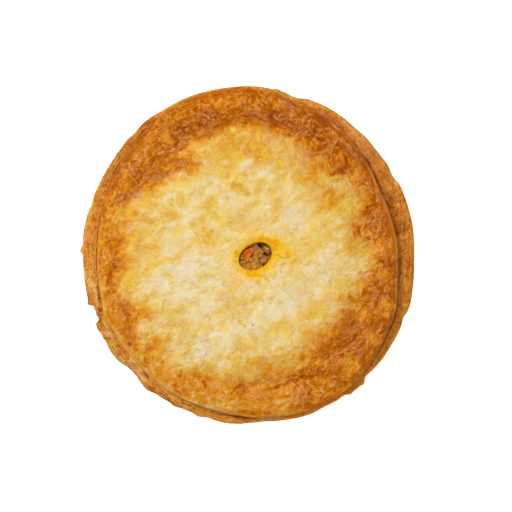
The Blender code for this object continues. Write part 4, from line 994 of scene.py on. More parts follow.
class RimRing:
    """One ring of the rim's top, at a share of the way from the wall to the outer edge. Past
    is how far it lies outside the lid, and bare is 1 where the lid doesn't cover it."""

    def __init__(self, angle, share, edge, lid):
        self.angle, self.share, self.edge = angle, share, edge
        self.degrees = np.degrees(angle) % 360.0
        self.reach = SHOULDER_RADIUS + share * (edge - SHOULDER_RADIUS)
        self.past = self.reach - lid
        self.x, self.y = self.reach * np.cos(angle), self.reach * np.sin(angle)
        self.bare = smooth_step((self.past - 0.2) / 2.0)
        self.flaky = flakiness(self.degrees)
        along = self.reach - 0.7 * lid
        self.layers = cloud(angle * 14.0, 0.9 * along, 1.7, 130, 3)
        self.fibres = cloud(angle * 9.0, 1.5 * along, 1.7, 180, 3)
        broken = smooth_step(0.55 + 1.2 * field(self.x, self.y, 6.0, 183))
        self.patchy = self.flaky * self.bare * broken
        pits = smooth_step((field(self.x, self.y, 2.8, 138) - 0.42) / 0.2)
        self.pits = pits * self.bare * (0.2 + 0.8 * self.flaky)
        from_hole = np.hypot(self.x - HOLE[0], self.y - HOLE[1])
        self.hole = np.exp(-((from_hole / HOLE[2]) ** 2))
        from_flake = line_distance(self.x, self.y, FLAKE)
        self.flake = smooth_step(1.6 - from_flake / FLAKE_HALF_WIDTH)
        self.gape = seam_line(self.x, self.y)
        thin = ridge(self.layers + 0.25, 0.12) * self.flaky * self.bare
        self.thin_line = thin + 0.9 * ridge(self.fibres - 0.1, 0.10) * self.patchy
        patches = field(angle * BORDER_ARC, 0.5 * self.reach, 6.0, 127)
        # Painted shade: a dark line in the crevice just outside the lid, on the left half, broken
        # into patches.
        beside_lid = lobe(self.degrees, 178, 76) * ridge(self.past - 0.45, 0.55)
        self.crevice_shade_line = beside_lid * smooth_step(0.62 + 1.1 * patches)

    def height(self):
        nominal = SHOULDER_RADIUS + self.share * (RIM_RADIUS - SHOULDER_RADIUS)
        beyond = smooth_step((nominal - DROOP_START) / (RIM_RADIUS - DROOP_START))
        wave = 0.8 * field(self.x, self.y, 11.0, 4) * smooth_step((self.past - 1.5) / 3.0)
        terrace = 0.45 * self.past + 1.3 * cloud(self.angle * 30.0, self.reach * 0.4, 4.0, 134)
        tread = np.floor(terrace) + smooth_step((terrace - np.floor(terrace) - 0.7) / 0.3)
        steps = self.flaky * self.bare * (0.6 * (tread - terrace) - 0.55 * self.layers)
        steps = steps - 0.35 * self.patchy * self.fibres
        edge_round = 1.1 * smooth_step((self.share - 0.9) / 0.1) ** 2
        lumps = 0.42 * swirl(self.x, self.y, 3.2, 142, 0.8) * self.bare
        height = SEAM_HEIGHT - RIM_DROOP * beyond**2 - beyond * wave * self.bare
        height = height - steps + lumps - edge_round
        height = height - 0.6 * self.pits + 0.45 * self.flake - 1.6 * self.hole
        height = height - 0.6 * self.gape
        return np.minimum(height, SEAM_HEIGHT + 0.7 * self.bare)

    def bake(self):
        x, y, degrees = self.x, self.y, self.degrees
        outer = smooth_step((self.share - 0.72) / 0.2)
        bake = round_values(RIM_BROWNING, degrees) + 0.20 * swirl(x, y, 7.0, 146, 0.8)
        bake = bake + 0.16 * swirl(x, y, 2.6, 158, 0.8) + SMEAR_WEIGHT * smears(x, y, RIM_SMEARS)
        bake = bake + 0.16 * swirl(self.angle * BORDER_ARC, 1.8 * self.reach, 5.0, 250, 0.8)
        bake = bake + sum(more * lobe(degrees, at, half) for at, half, more in RIM_TONES)
        bake = bake + outer * sum(more * lobe(degrees, at, half) for at, half, more in OUTER_TONES)
        bake = bake + 0.16 * self.layers * self.flaky + 0.14 * self.fibres * self.patchy
        # Painted shade: the pits, the gaping join and the crevice line beside the lid are painted
        # browner.
        bake = bake - 0.22 * self.flake + 0.20 * self.pits + 0.16 * self.thin_line
        bake = bake + 0.35 * self.gape + 0.30 * self.crevice_shade_line
        # Painted light: the rim is painted paler where the lid's shadow falls on it, at the right
        # and the lower left.
        shadow_lightening = np.maximum(lobe(degrees, 350, 60), 0.6 * lobe(degrees, 250, 26))
        bake = bake - 0.20 * shadow_lightening * smooth_step(1.0 - (self.past - 1.5) / 4.0)
        return bake + 0.14 * lobe(degrees, 32, 48) * smooth_step(1.0 - (self.past - 1.5) / 5.0)

    def dark(self):
        degrees, past = self.degrees, self.past
        # Painted shade: the rim is darkened in the crevice beside the lid, most of all at the
        # right.
        near_lid = smooth_step(1.0 - (past - 0.6) / (0.8 + 1.5 * lobe(degrees, 20, 70)))
        dark = (0.10 + 0.24 * lobe(degrees, 0, 90) - 0.24 * lobe(degrees, 18, 26)) * near_lid
        # Painted shade: the hole, the pits and the gaping join, real hollows in the rim, and the
        # crevice line beside the lid are darkened.
        dark = dark + 0.95 * self.hole + 0.4 * self.pits + 0.20 * self.thin_line
        dark = dark + 0.45 * self.gape + 0.50 * self.crevice_shade_line
        # Painted shade: darker still just outside the lid at the right and the lower right.
        dark = dark + 0.4 * lobe(degrees, 351, 9) * ridge(past - 1.3, 0.7)
        dark = dark + 0.65 * lobe(degrees, 332, 20) * smooth_step(1.0 - (past - 0.8) / 0.8)
        stains = [line_distance(self.x, self.y, points) < half for points, half in RIM_STAINS]
        dark = dark + 0.3 * np.logical_or.reduce(stains)
        rust = 0.50 * smooth_step((self.reach - self.edge + 1.0) / 0.6) * lobe(degrees, 22, 85)
        uneven = field(self.angle * RIM_ARC, 0.0 * self.angle, 6.0, 122)
        return np.clip(dark + rust * (0.6 + 0.4 * uneven), 0.0, 1.0)

    def looks(self):
        """What the crust's material reads on this ring."""
        pale = 0.35 * ridge(self.layers - 0.2, 0.15) * self.flaky
        pale = pale + 0.35 * ridge(self.fibres + 0.25, 0.12) * self.patchy
        dry = lobe(self.degrees, 46, 30) * (0.24 + 0.5 * swirl(self.x, self.y, 5.0, 176, 0.8))
        # Painted light: where the lid's shadow falls on the rim at the lower right, the rim is
        # painted a brighter orange.
        shadow_brightening = 0.5 * lobe(self.degrees, 305, 60) * smooth_step((self.past - 0.8) / 1.2)
        return {
            "bake": self.bake(), "pale": pale, "dark": self.dark(),
            "dry": np.clip(dry, 0.0, 1.0), "painted_light": shadow_brightening, "flaky": self.flaky * self.bare,
        }


def wall_inside(height, thickness):
    """Radius of a face that lies so far inside the wall's outer face."""
    return FOOT_RADIUS - thickness * math.hypot(1.0, WALL_SLOPE) + WALL_SLOPE * height


def add_rim_side(rings, edge, top):
    """The rim's layered edge and its underside, in to the wall."""
    angle = rings.angle
    for row in np.linspace(0.0, 1.0, CRUST_SIDE_ROWS + 1)[1:]:
        bend = 2.5 * field(angle * 40, 0 * angle + row, 5.0, 150)
        layer = 0.5 + 0.5 * np.sin(row * 2.0 * np.pi * CRUST_LAYERS + bend)
        reach = edge - 0.7 * row**2 - 1.6 * layer * row * (1.0 - row)
        height = top + row * (RIM_UNDERSIDE + 0.3 - top)
        rings.add_round(reach, height, bake=0.62 + 0.2 * layer, pale=0.1, dark=0.15 * layer)
    for share in np.linspace(0.0, 1.0, CRUST_SIDE_ROWS + 1)[1:]:
        reach = edge - 0.9 + share * (SHOULDER_RADIUS + 1.5 - edge + 0.9)
        x, y = reach * np.cos(angle), reach * np.sin(angle)
        height = RIM_UNDERSIDE + 0.15 * cloud(x, y, 6.0, 154) * (1.0 - share)
        rings.add_round(reach, height, bake=0.5 + 0.15 * cloud(x, y, 9.0, 152))


def add_wall(rings):
    """The outer side of the wall, down to the foot's rounding."""
    angle, around = rings.angle, rings.angle * WALL_ARC
    for height in np.linspace(RIM_UNDERSIDE - 0.8, FOOT_ROUNDING, CRUST_WALL_ROWS):
        swell = 0.7 * field(angle * FOOT_RADIUS, 0 * angle + height, 17.0, 3)
        swell = swell * min(1.0, height / 8.0)
        reach = FOOT_RADIUS + WALL_SLOPE * height + swell - 0.25
        bake = 0.74 + 0.20 * cloud(around, height, 14.0, 164)
        bake = bake + 0.12 * cloud(around, height, 3.0, 165)
        rings.add_round(reach + 0.1 * cloud(around, height, 5.0, 162), height, bake=bake, pale=0.5)


def add_foot(rings):
    """The rounded edge of the foot and its flat face."""
    angle = rings.angle
    for turn in 0.5 * math.pi * np.linspace(0.0, 1.0, 5)[1:]:
        reach = FOOT_RADIUS - FOOT_ROUNDING * (1.0 - math.cos(turn)) + WALL_SLOPE * 2.0
        rings.add_round(min(reach, FOOT_RADIUS + 1.6), FOOT_ROUNDING * (1.0 - math.sin(turn)))
    for reach in np.linspace(FOOT_RADIUS - FOOT_ROUNDING, 4.0, CRUST_FOOT_RINGS):
        x, y = reach * np.cos(angle), reach * np.sin(angle)
        bake = 0.45 + 0.16 * cloud(x, y, 16.0, 166) + 0.06 * cloud(x, y, 4.0, 168)
        rings.add_round(reach, 0.0, bake=bake)


def make_lower_crust():
    angle = np.linspace(0.0, 2.0 * np.pi, CRUST_STEPS, endpoint=False)
    edge, lid = rim_outline(angle), lid_edge(angle)
    rings = Rings(angle, PLAIN_CRUST)
    for height in np.linspace(FLOOR_THICKNESS + 1.5, RIM_UNDERSIDE, 4):
        rings.add_round(wall_inside(height, WALL_THICKNESS), height)
    rings.add_round(CROWN_EDGE_RADIUS + FIT_GAP, SEAM_HEIGHT)
    rings.add_round(SHOULDER_RADIUS - 1.0, SEAM_HEIGHT)
    for share in np.linspace(0.0, 1.0, CRUST_RIM_RINGS):
        ring = RimRing(angle, share, edge, lid)
        rings.add_round(ring.reach, ring.height(), **ring.looks())
    add_rim_side(rings, edge, rings.points[-1][:, 2])
    add_wall(rings)
    add_foot(rings)
    poles = (0.0, 0.0, FLOOR_THICKNESS), (0.0, 0.0, 0.0)
    return shell("crust_fine", rings.points, rings.values, *poles)


VENT_STEPS = 260
# The filling's rings under the lid, outside the vent's recess
FILLING_RINGS = (34.0, 48.0, 62.0, 72.0, 81.0, 90.0, 94.7)
PLAIN_MINCE = {"tint": 0.5, "fat": 0.0, "hollow": 0.0}
VENT_RING_STEP = 0.3
CRUMB_SPACING = 3.7
CRUMB_RADIUS = (1.7, 2.5)
CRUMB_SEED = 21
MINCE_LIFT = 1.4  # how far the crumbs have grown together
# Hollows in the mince: (x, y, radius, depth)
HOLLOWS = (
    (7.0, 7.8, 1.2, 3.0), (8.2, 6.6, 1.3, 3.2), (9.4, 5.2, 1.0, 2.6), (10.7, 4.0, 0.8, 1.8),
    (10.9, 1.4, 0.7, 2.6), (11.6, 0.8, 0.7, 2.6), (12.4, 0.2, 0.7, 2.4), (13.2, -0.4, 0.6, 1.8),
    (10.6, -6.5, 0.9, 2.6), (-5.9, -3.4, 0.6, 1.4),
)
# Marks on the mince: (from x, y, to x, y, half width, strength): fat stains, and paler and darker
# spots. Negative ones are darker.
FAT_STAINS = (
    (-3.5, -8.6, 4.0, -8.4, 1.0, 0.8), (0.0, -9.4, 7.0, -8.8, 1.2, 0.8),
    (-2.4, -6.8, -1.6, -7.0, 0.8, 0.7), (3.0, 8.0, 5.0, 8.2, 0.8, 0.6),
)
PALE_AND_DARK_SPOTS = (
    (10.4, 5.5, 11.2, 5.6, 0.9, 1.7), (9.4, 7.6, 10.0, 7.9, 0.7, 1.5),
    (11.2, 7.4, 14.4, 3.4, 2.6, -1.1), (13.6, 1.6, 14.6, -1.0, 1.6, -0.35),
    (7.6, 9.0, 10.8, 8.0, 1.4, -0.5), (13.2, 5.0, 13.8, 4.6, 0.7, 1.4),
    (11.6, 3.9, 12.6, 3.2, 0.5, 1.2), (5.0, -1.5, 5.6, -1.4, 0.6, 0.5),
    (5.6, -6.8, 6.0, -6.4, 0.7, 0.8), (12.5, 4.5, 13.2, 4.8, 0.9, 0.5),
    (-3.6, 0.2, -3.4, 0.8, 0.5, 0.6), (9.0, -5.0, 9.6, -5.2, 0.7, 0.5),
)
BESIDE_CARROT = ((-0.6, -3.8), (4.6, 0.8))  # a bank of mince along the dice


def crumb_places():
    """The solids' mince crumbs: (x, y, radius, lift) of each."""
    draw = random.Random(CRUMB_SEED)
    cell_height = CRUMB_SPACING * math.sqrt(0.75)
    places = []
    for row in range(-4, 5):
        for column in range(-5, 6):
            x = VENT_CENTRE[0] + (column + 0.5 * (row % 2)) * CRUMB_SPACING
            y = VENT_CENTRE[1] + row * cell_height
            x += draw.uniform(-0.6, 0.6)
            y += draw.uniform(-0.6, 0.6)
            size = draw.uniform(*CRUMB_RADIUS)
            if vent_share(x, y) < 1.0 - (size + FIT_GAP) / VENT_HALF_WIDTH:
                places.append((x, y, size, draw.uniform(-0.5, 0.5)))
    return places


def mince_height(x, y):
    """Height of the filling's top under the vent: crumbs grown together, with hollows."""
    from_vent = np.hypot(x - VENT_CENTRE[0], y - VENT_CENTRE[1])
    recess = VENT_RECESS * smooth_step((VENT_RECESS_RADIUS - from_vent) / 9.0)
    height = lid_underside(np.hypot(x, y)) - FIT_GAP - recess
    height = height + 1.1 * smooth_step((VENT_RECESS_RADIUS - 2.0 - from_vent) / 6.0)
    floor = SEAM_HEIGHT + CROWN_RISE - VENT_RECESS
    uneven_x, uneven_y = x + 0.7 * field(x, y, 2.2, 170), y + 0.7 * field(x, y, 2.2, 171)
    for crumb_x, crumb_y, size, lift in crumb_places():
        gap = np.hypot(uneven_x - crumb_x, uneven_y - crumb_y) / (1.35 * size)
        dome = floor + MINCE_LIFT + (0.6 * lift + 0.6 * size) * np.clip(1.0 - gap**2, 0.0, 1.0)
        height = np.maximum(height, dome)
    rough = 0.22 * swirl(x, y, 1.9, 172, 0.8) + 0.12 * cloud(x, y, 0.9, 184, 2)
    height = height + rough * smooth_step((17.0 - from_vent) / 4.0)
    for hollow_x, hollow_y, radius, depth in HOLLOWS:
        height = height - depth * np.exp(-(np.hypot(x - hollow_x, y - hollow_y) / radius) ** 2)
    # Banks against the vent's wall, at the left, the upper right and the bottom
    banks = (
        (1.0, 0.62, 2.0, (from_vent - x + 4.0) / 14.0),
        (0.7, 0.70, 2.0, (x + y - 4.0) / 8.0),
        (0.8, 0.72, 4.0, (-y - 2.0) / 5.0),
    )
    for rise, start, inside, side in banks:
        bank = smooth_step((vent_share(x, y) - start) / 0.3) * smooth_step(side)
        fading = smooth_step((VENT_RECESS_RADIUS - inside - from_vent) / 4.0)
        height = height + rise * bank * fading
    beside_carrot = segment_distance(x, y, *BESIDE_CARROT)
    height = height + 0.8 * np.exp(-((beside_carrot / 1.1) ** 2))
    middle_x, middle_y = np.mean(CARROT_CORNERS, axis=0)
    near_carrot = smooth_step((4.2 - np.hypot(x - middle_x, y - middle_y)) / 1.8)
    return height - 2.6 * near_carrot


def make_filling():
    """The filling as one body, finely modelled under the vent."""
    angle = np.linspace(0.0, 2.0 * np.pi, VENT_STEPS, endpoint=False)
    rings = Rings(angle, PLAIN_MINCE)
    for reach in np.arange(VENT_RING_STEP, VENT_RECESS_RADIUS + 1.0, VENT_RING_STEP):
        x, y = VENT_CENTRE[0] + reach * np.cos(angle), VENT_CENTRE[1] + reach * np.sin(angle)
        tint = 0.5 + 0.28 * swirl(x, y, 3.0, 190, 0.7) + 0.2 * cloud(x, y, 1.3, 202, 2)
        # Painted shade: the hollows in the mince are painted near black.
        hollow = sum(np.exp(-(np.hypot(x - a, y - b) / (0.8 * r)) ** 2) for a, b, r, _ in HOLLOWS)
        rings.add(x, y, mince_height(x, y), tint=tint + 0.3 * smears(x, y, PALE_AND_DARK_SPOTS),
                  fat=smears(x, y, FAT_STAINS), hollow=np.clip(hollow, 0.0, 1.0))
    for reach in FILLING_RINGS:
        rings.add_round(reach, lid_underside(reach) - FIT_GAP)
    inside = WALL_THICKNESS + FIT_GAP
    for height in np.linspace(RIM_UNDERSIDE, FLOOR_THICKNESS + 1.8, 4):
        rings.add_round(wall_inside(height, inside), height)
    base = FLOOR_THICKNESS + FIT_GAP
    rings.add_round(wall_inside(0.0, inside) - 3.0, base)
    poles = (*VENT_CENTRE, float(rings.points[0][:, 2].mean())), (0.0, 0.0, base)
    return shell("mince", rings.points, rings.values, *poles)


def make_carrot():
    """The dice, with its square outline drawn out to the worn corners."""
    bm = bmesh.new()
    bmesh.ops.create_cube(bm, size=1.0)
    bmesh.ops.bevel(bm, geom=bm.edges[:], offset=0.12, segments=3, profile=0.5, affect="EDGES")
    bmesh.ops.subdivide_edges(bm, edges=bm.edges[:], cuts=5, use_grid_fill=True)
    mesh = bpy.data.meshes.new("carrot")
    bm.to_mesh(mesh)
    bm.free()
    points = np.empty(3 * len(mesh.vertices))
    mesh.vertices.foreach_get("co", points)
    u, v, w = points.reshape(-1, 3).T + [[0.5], [0.5], [0.0]]
    shares = ((1 - u) * (1 - v), u * (1 - v), u * v, (1 - u) * v)
    x, y = (
        sum(share * place for share, place in zip(shares, places))
        for places in zip(*CARROT_CORNERS)
    )
    lump = 0.35 * field(x + 9.0, y + 2.0 * w, 2.6, 190)
    x, y = x + lump, y - lump
    tilt = 0.12 * (CARROT_PLACE[0] - x) + 0.10 * (y - CARROT_PLACE[1])
    z = CARROT_PLACE[2] + (CARROT_HEIGHT + CARROT_SWELL) * w + tilt
    z = z + 0.3 * field(x, y, 1.8, 191) + CARROT_LIFT
    mesh.vertices.foreach_set("co", to_world(np.column_stack([x, y, z])).ravel())
    streak = smooth_step(1.5 - segment_distance(x, y, *CARROT_STREAK) / 0.8)
    blush = smooth_step(1.5 - np.hypot(x - CARROT_BLUSH[0], y - CARROT_BLUSH[1]) / 1.3)
    for key, values in (("streak", streak), ("blush", blush)):
        mesh.attributes.new(key, "FLOAT", "POINT").data.foreach_set("value", values)
    mesh.shade_smooth()
    obj = bpy.data.objects.new("carrot", mesh)
    bpy.context.scene.collection.objects.link(obj)
    return obj


class Looks:
    """A node material under construction."""

    def __init__(self, name):
        self.material = bpy.data.materials.new(name)
        self.material.use_nodes = True
        self.tree = self.material.node_tree
        self.shader = self.tree.nodes["Principled BSDF"]
        self.place = self.add("ShaderNodeTexCoord").outputs["Object"]

    def add(self, kind, **settings):
        node = self.tree.nodes.new(kind)
        for key, value in settings.items():
            setattr(node, key, value)
        return node

    def link(self, source, target):
        self.tree.links.new(source, target)

    def attribute(self, name):
        return self.add("ShaderNodeAttribute", attribute_name=name).outputs["Fac"]

    def noise(self, size, detail=3.0, distortion=0.0):
        """Noise of 0 to 1 whose lumps are about size millimetres across."""
        node = self.add("ShaderNodeTexNoise")
        node.inputs["Scale"].default_value = 1.0 / (size * MM)
        node.inputs["Detail"].default_value = detail
        node.inputs["Distortion"].default_value = distortion
        self.link(self.place, node.inputs["Vector"])
        return node.outputs["Fac"]

    def math(self, operation, left, right=None, third=None):
        node = self.add("ShaderNodeMath", operation=operation)
        for number, value in enumerate((left, right, third)):
            if isinstance(value, (int, float)):
                node.inputs[number].default_value = value
            elif value is not None:
                self.link(value, node.inputs[number])
        return node.outputs["Value"]

    def ridged(self, size, detail, distortion):
        """Sharp winding ridges of 1 over hollows of about 0."""
        noise = self.noise(size, detail, distortion)
        fold = self.math("ABSOLUTE", self.math("MULTIPLY_ADD", noise, 2.0, -1.0))
        fold = self.math("MULTIPLY", fold, 4.0)
        return self.math("SUBTRACT", 1.0, self.math("MINIMUM", fold, 1.0))

    def hairline(self, size, width):
        """1 on thin winding lines about size millimetres apart."""
        noise = self.noise(size, 4.0, 0.6)
        off = self.math("ABSOLUTE", self.math("SUBTRACT", noise, 0.5))
        off = self.math("DIVIDE", off, width)
        return self.math("SUBTRACT", 1.0, self.math("MINIMUM", off, 1.0))

    def span(self, level, start, end):
        """0 where level is start or less, rising to 1 at end."""
        node = self.add("ShaderNodeMapRange")
        node.inputs["From Min"].default_value = start
        node.inputs["From Max"].default_value = end
        self.link(level, node.inputs["Value"])
        return node.outputs["Result"]

    def ramp(self, level, stops):
        node = self.add("ShaderNodeValToRGB")
        bar = node.color_ramp
        while len(bar.elements) < len(stops):
            bar.elements.new(1.0)
        for element, (at, colour) in zip(bar.elements, stops):
            element.position = at
            element.color = (*linear(*colour), 1.0)
        self.link(level, node.inputs["Fac"])
        return node.outputs["Color"]

    def mix(self, share, first, second):
        """first where share is 0 and second where it is 1. Either may be a display colour."""
        node = self.add("ShaderNodeMix", data_type="RGBA")
        for socket, value in zip((node.inputs[6], node.inputs[7]), (first, second)):
            if isinstance(value, tuple):
                socket.default_value = (*linear(*value), 1.0)
            else:
                self.link(value, socket)
        self.link(share, node.inputs["Factor"])
        return node.outputs[2]

    def bump(self, height, distance, under=None):
        """Relief of so many millimetres, on top of what under gives."""
        node = self.add("ShaderNodeBump")
        node.inputs["Strength"].default_value = 1.0
        node.inputs["Distance"].default_value = distance * MM
        self.link(height, node.inputs["Height"])
        if under is not None:
            self.link(under, node.inputs["Normal"])
        return node.outputs["Normal"]

    def done(self, colour, roughness, normal):
        self.link(colour, self.shader.inputs["Base Color"])
        self.link(roughness, self.shader.inputs["Roughness"])
        self.link(normal, self.shader.inputs["Normal"])
        return self.material


# Colours of the crusts from unbaked to dark brown, as the photograph shows them. The last
# stop stands for a browning of BAKE_SPAN.
LID_BAKE = (
    (0.00, (233, 219, 184)), (0.12, (232, 204, 136)), (0.25, (226, 183, 88)),
    (0.37, (219, 162, 62)), (0.49, (215, 143, 33)), (0.62, (207, 122, 4)),
    (0.74, (192, 101, 0)), (0.86, (173, 82, 0)), (1.00, (150, 64, 0)),
)
CRUST_BAKE = (
    (0.00, (236, 212, 150)), (0.37, (224, 163, 72)), (0.49, (216, 144, 46)),
    (0.62, (201, 122, 26)), (0.74, (186, 102, 8)), (0.86, (164, 82, 2)),
    (1.00, (142, 62, 0)),
)
BAKE_SPAN = 1.16
LID_LEVEL = -0.10  # sets off the shader's own mottle
CRUST_LEVEL = -0.11


def lid_material():
    looks = Looks("lid_crust")
    browned = looks.attribute("browned")
    leather = looks.ridged(7.0, 3.0, 0.9)
    mottle = looks.noise(1.5, 6.0)
    speckle = looks.noise(0.8, 3.0)
    level = looks.math("ADD", looks.attribute("bake"), LID_LEVEL)
    level = looks.math("MULTIPLY_ADD", mottle, 0.14, level)
    level = looks.math("MULTIPLY_ADD", speckle, 0.10, level)
    creases = looks.math("MULTIPLY", looks.math("SUBTRACT", leather, 0.3), browned)
    level = looks.math("MULTIPLY_ADD", creases, -0.12, level)
    veins = looks.math("SUBTRACT", 1.0, browned)
    veins = looks.math("MULTIPLY", looks.ridged(6.0, 4.0, 0.7), veins)
    level = looks.math("MULTIPLY_ADD", veins, -0.06, level)
    colour = looks.ramp(looks.math("DIVIDE", level, BAKE_SPAN), LID_BAKE)
    lighter = looks.math("MULTIPLY", looks.span(level, 0.84, 0.56), browned)
    hue = looks.noise(3.4, 4.0)
    rosy = looks.math("MULTIPLY", looks.span(hue, 0.50, 0.66), lighter)
    colour = looks.mix(looks.math("MULTIPLY", rosy, 0.32), colour, (224, 142, 98))
    clear = looks.math("MULTIPLY", looks.span(hue, 0.50, 0.36), lighter)
    colour = looks.mix(looks.math("MULTIPLY", clear, 0.46), colour, (212, 126, 0))
    # Painted highlight: the pale attribute lays a peach sheen on the lid's ridges.
    pale = looks.math("MULTIPLY", looks.attribute("pale"), 0.55)
    colour = looks.mix(pale, colour, (234, 162, 96))
    beige = looks.math("MULTIPLY", looks.attribute("beige"), 0.34)
    colour = looks.mix(beige, colour, (230, 194, 156))
    yellow = looks.math("MULTIPLY", looks.attribute("yellow"), 0.44)
    colour = looks.mix(yellow, colour, (242, 197, 70))
    butter = looks.attribute("butter")
    colour = looks.mix(looks.span(butter, 0.0, 0.90), colour, (246, 192, 24))
    colour = looks.mix(looks.span(butter, 0.60, 1.15), colour, (228, 156, 0))
    colour = looks.mix(looks.attribute("dry"), colour, (240, 170, 82))
    hair = looks.hairline(26.0, 0.010)
    hair = looks.math("MAXIMUM", hair, looks.math("MULTIPLY", looks.hairline(11.0, 0.016), 0.7))
    hair = looks.math("MULTIPLY", hair, looks.attribute("cracked"))
    crack = looks.math("MULTIPLY_ADD", hair, 0.22, looks.attribute("crack"))
    colour = looks.mix(crack, colour, (172, 100, 20))
    # The dark attribute holds the pepper speck and the cut edge's layer lines, and painted shade
    # down the lid's side and on the vent's wall at the upper left.
    colour = looks.mix(looks.attribute("dark"), colour, (110, 54, 18))
    rough = looks.math("MULTIPLY_ADD", looks.noise(5.0), 0.14, 0.40)
    rough = looks.math("MULTIPLY_ADD", browned, -0.17, rough)
    rough = looks.math("MULTIPLY_ADD", looks.attribute("dry"), 0.4, rough)
    calm = looks.math("MULTIPLY_ADD", browned, -0.60, 1.0)
    fine = looks.bump(looks.math("MULTIPLY", mottle, calm), 0.38)
    fine = looks.bump(looks.math("MULTIPLY", speckle, calm), 0.30, under=fine)
    fine = looks.bump(creases, 0.24, under=fine)
    fine = looks.bump(veins, 0.12, under=fine)
    looks.shader.inputs["Specular Tint"].default_value = (1.0, 0.79, 0.14, 1.0)
    looks.shader.inputs["Specular IOR Level"].default_value = 0.42
    return looks.done(colour, rough, fine)


def crust_material():
    looks = Looks("lower_crust")
    grain = looks.noise(1.1, 5.0)
    level = looks.math("ADD", looks.attribute("bake"), CRUST_LEVEL)
    level = looks.math("MULTIPLY_ADD", grain, 0.36, level)
    level = looks.math("MULTIPLY_ADD", looks.ridged(3.0, 4.0, 1.0), -0.14, level)
    flaky = looks.attribute("flaky")
    flakes = looks.ridged(1.5, 4.0, 1.4)
    uneven = looks.math("MULTIPLY_ADD", flakes, -0.20, 0.09)
    level = looks.math("MULTIPLY_ADD", uneven, flaky, level)
    fine_grain = looks.math("MULTIPLY_ADD", looks.noise(0.7, 3.0), 0.34, -0.17)
    level = looks.math("MULTIPLY_ADD", fine_grain, flaky, level)
    colour = looks.ramp(looks.math("DIVIDE", level, BAKE_SPAN), CRUST_BAKE)
    colour = looks.mix(looks.attribute("pale"), colour, (232, 180, 108))
    colour = looks.mix(looks.attribute("dry"), colour, (204, 140, 84))
    # Painted light: a brighter orange where the lid's shadow falls on the rim.
    colour = looks.mix(looks.attribute("painted_light"), colour, (242, 146, 52))
    flour = looks.span(looks.noise(1.8, 4.0), 0.52, 0.72)
    colour = looks.mix(looks.math("MULTIPLY", flour, 0.46), colour, (220, 157, 98))
    specks = looks.span(looks.noise(1.1, 4.0), 0.62, 0.72)
    colour = looks.mix(looks.math("MULTIPLY", specks, 0.45), colour, (132, 68, 22))
    # The dark attribute holds real stains and layer lines, and painted shade in the crevice beside
    # the lid, the hole, the pits and the gaping join.
    colour = looks.mix(looks.attribute("dark"), colour, (120, 48, 5))
    rough = looks.math("MULTIPLY_ADD", looks.noise(4.0), 0.2, 0.55)
    fine = looks.bump(grain, 0.45)
    fine = looks.bump(looks.math("MULTIPLY", flakes, flaky), 0.11, under=fine)
    looks.shader.inputs["Specular Tint"].default_value = (1.0, 0.88, 0.4, 1.0)
    looks.shader.inputs["Specular IOR Level"].default_value = 0.12
    return looks.done(colour, rough, fine)


def meat_material():
    looks = Looks("meat")
    tint = looks.math("MULTIPLY_ADD", looks.noise(0.9, 5.0), 0.6, looks.attribute("tint"))
    colour = looks.ramp(looks.math("ADD", tint, -0.3), (
        (0.10, (104, 58, 14)), (0.35, (156, 100, 24)), (0.52, (178, 118, 36)),
        (0.70, (198, 140, 60)), (0.95, (232, 186, 122)),
    ))
    colour = looks.mix(looks.attribute("fat"), colour, (196, 116, 16))
    # Painted shade in the mince's hollows.
    colour = looks.mix(looks.attribute("hollow"), colour, (50, 22, 8))
    rough = looks.math("MULTIPLY_ADD", looks.noise(1.0), 0.3, 0.35)
    fine = looks.bump(looks.noise(0.5, 4.0), 0.12)
    looks.shader.inputs["Specular IOR Level"].default_value = 0.25
    return looks.done(colour, rough, fine)


def carrot_material():
    looks = Looks("carrot")
    colour = looks.ramp(looks.noise(2.2, 3.0), (
        (0.30, (186, 68, 4)), (0.48, (208, 86, 8)), (0.70, (222, 104, 16)),
    ))
    colour = looks.mix(looks.attribute("streak"), colour, (234, 126, 14))
    colour = looks.mix(looks.attribute("blush"), colour, (228, 116, 62))
    rough = looks.math("MULTIPLY_ADD", looks.noise(1.0), 0.2, 0.3)
    fine = looks.bump(looks.noise(0.6, 4.0), 0.10)
    looks.shader.inputs["Specular IOR Level"].default_value = 0.08
    return looks.done(colour, rough, fine)


def place_piece(piece, material, node):
    piece.data.materials.append(material)
    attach(piece, "root")
    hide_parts(node)


place_piece(make_lid(), lid_material(), "lid_crust")
place_piece(make_lower_crust(), crust_material(), "lower_crust")
place_piece(make_filling(), meat_material(), "meat_filling")
place_piece(make_carrot(), carrot_material(), "carrot_dice")

# Stage: a white table, a bright sky and two soft lamps
PIXEL = 0.6866  # millimetres a pixel of the photograph at the lid's height
PHOTO_SIZE = 512
PHOTO_AXIS = (248.5, 255.4)  # the pixel that the pie's axis stands on
LENS = 135.0
SENSOR = 36.0
VIEW_HEIGHT = 44.0  # the height at which the scale holds
FLOOR_GLOW = 0.62
FLOOR_SIZE = 6.0
FLOOR_DROP = 0.0002
SKY_STRENGTH = 0.34
# The lamps: (name, place in metres, size, watts)
LAMPS = (
    ("key", (-0.85, 0.80, 1.65), 0.6, 29.5),
    ("fill", (1.2, -0.9, 1.5), 1.8, 9.0),
)


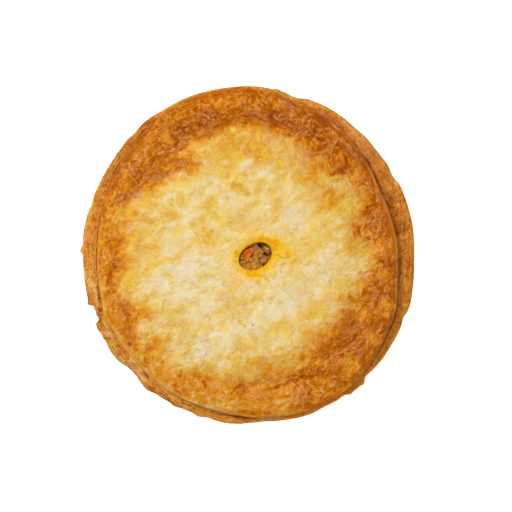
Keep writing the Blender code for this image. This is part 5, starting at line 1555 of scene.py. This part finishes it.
def make_floor():
    mesh = bpy.data.meshes.new("floor")
    half = FLOOR_SIZE / 2.0
    corners = [(-half, -half, 0), (half, -half, 0), (half, half, 0), (-half, half, 0)]
    mesh.from_pydata(corners, [], [(0, 1, 2, 3)])
    obj = bpy.data.objects.new("floor", mesh)
    bpy.context.scene.collection.objects.link(obj)
    obj.location.z = -FLOOR_DROP
    obj.visible_glossy = False
    white = bpy.data.materials.new("floor")
    white.use_nodes = True
    shader = white.node_tree.nodes["Principled BSDF"]
    shader.inputs["Base Color"].default_value = (0.95, 0.95, 0.95, 1.0)
    shader.inputs["Roughness"].default_value = 0.9
    shader.inputs["Specular IOR Level"].default_value = 0.0
    shader.inputs["Emission Color"].default_value = (1.0, 1.0, 1.0, 1.0)
    shader.inputs["Emission Strength"].default_value = FLOOR_GLOW
    mesh.materials.append(white)


def make_lamp(name, place, size, watts):
    lamp = bpy.data.lights.new(name, "AREA")
    lamp.shape = "DISK"
    lamp.size = size
    lamp.energy = watts
    obj = bpy.data.objects.new(name, lamp)
    bpy.context.scene.collection.objects.link(obj)
    obj.location = place
    obj.rotation_euler = (-Vector(place)).to_track_quat("-Z", "Y").to_euler()


def make_sky():
    world = bpy.data.worlds.new("sky")
    world.use_nodes = True
    background = world.node_tree.nodes["Background"]
    background.inputs["Color"].default_value = (1.0, 1.0, 1.0, 1.0)
    background.inputs["Strength"].default_value = SKY_STRENGTH
    world.cycles_visibility.glossy = False
    bpy.context.scene.world = world


def make_camera():
    """A camera straight above that shows the pie where the photograph does."""
    camera = bpy.data.cameras.new("camera")
    camera.lens = LENS
    camera.sensor_width = SENSOR
    view = bpy.data.objects.new("camera", camera)
    bpy.context.scene.collection.objects.link(view)
    middle = PHOTO_SIZE / 2.0
    x = PIE_AXIS[0] + (middle - PHOTO_AXIS[0]) * PIXEL
    y = PIE_AXIS[1] - (middle - PHOTO_AXIS[1]) * PIXEL
    z = VIEW_HEIGHT + PHOTO_SIZE * PIXEL * LENS / SENSOR
    view.location = (x * MM, y * MM, z * MM)
    bpy.context.scene.camera = view


def make_stage():
    make_floor()
    for lamp in LAMPS:
        make_lamp(*lamp)
    make_sky()
    bpy.context.scene.view_settings.view_transform = "Standard"
    make_camera()


make_stage()
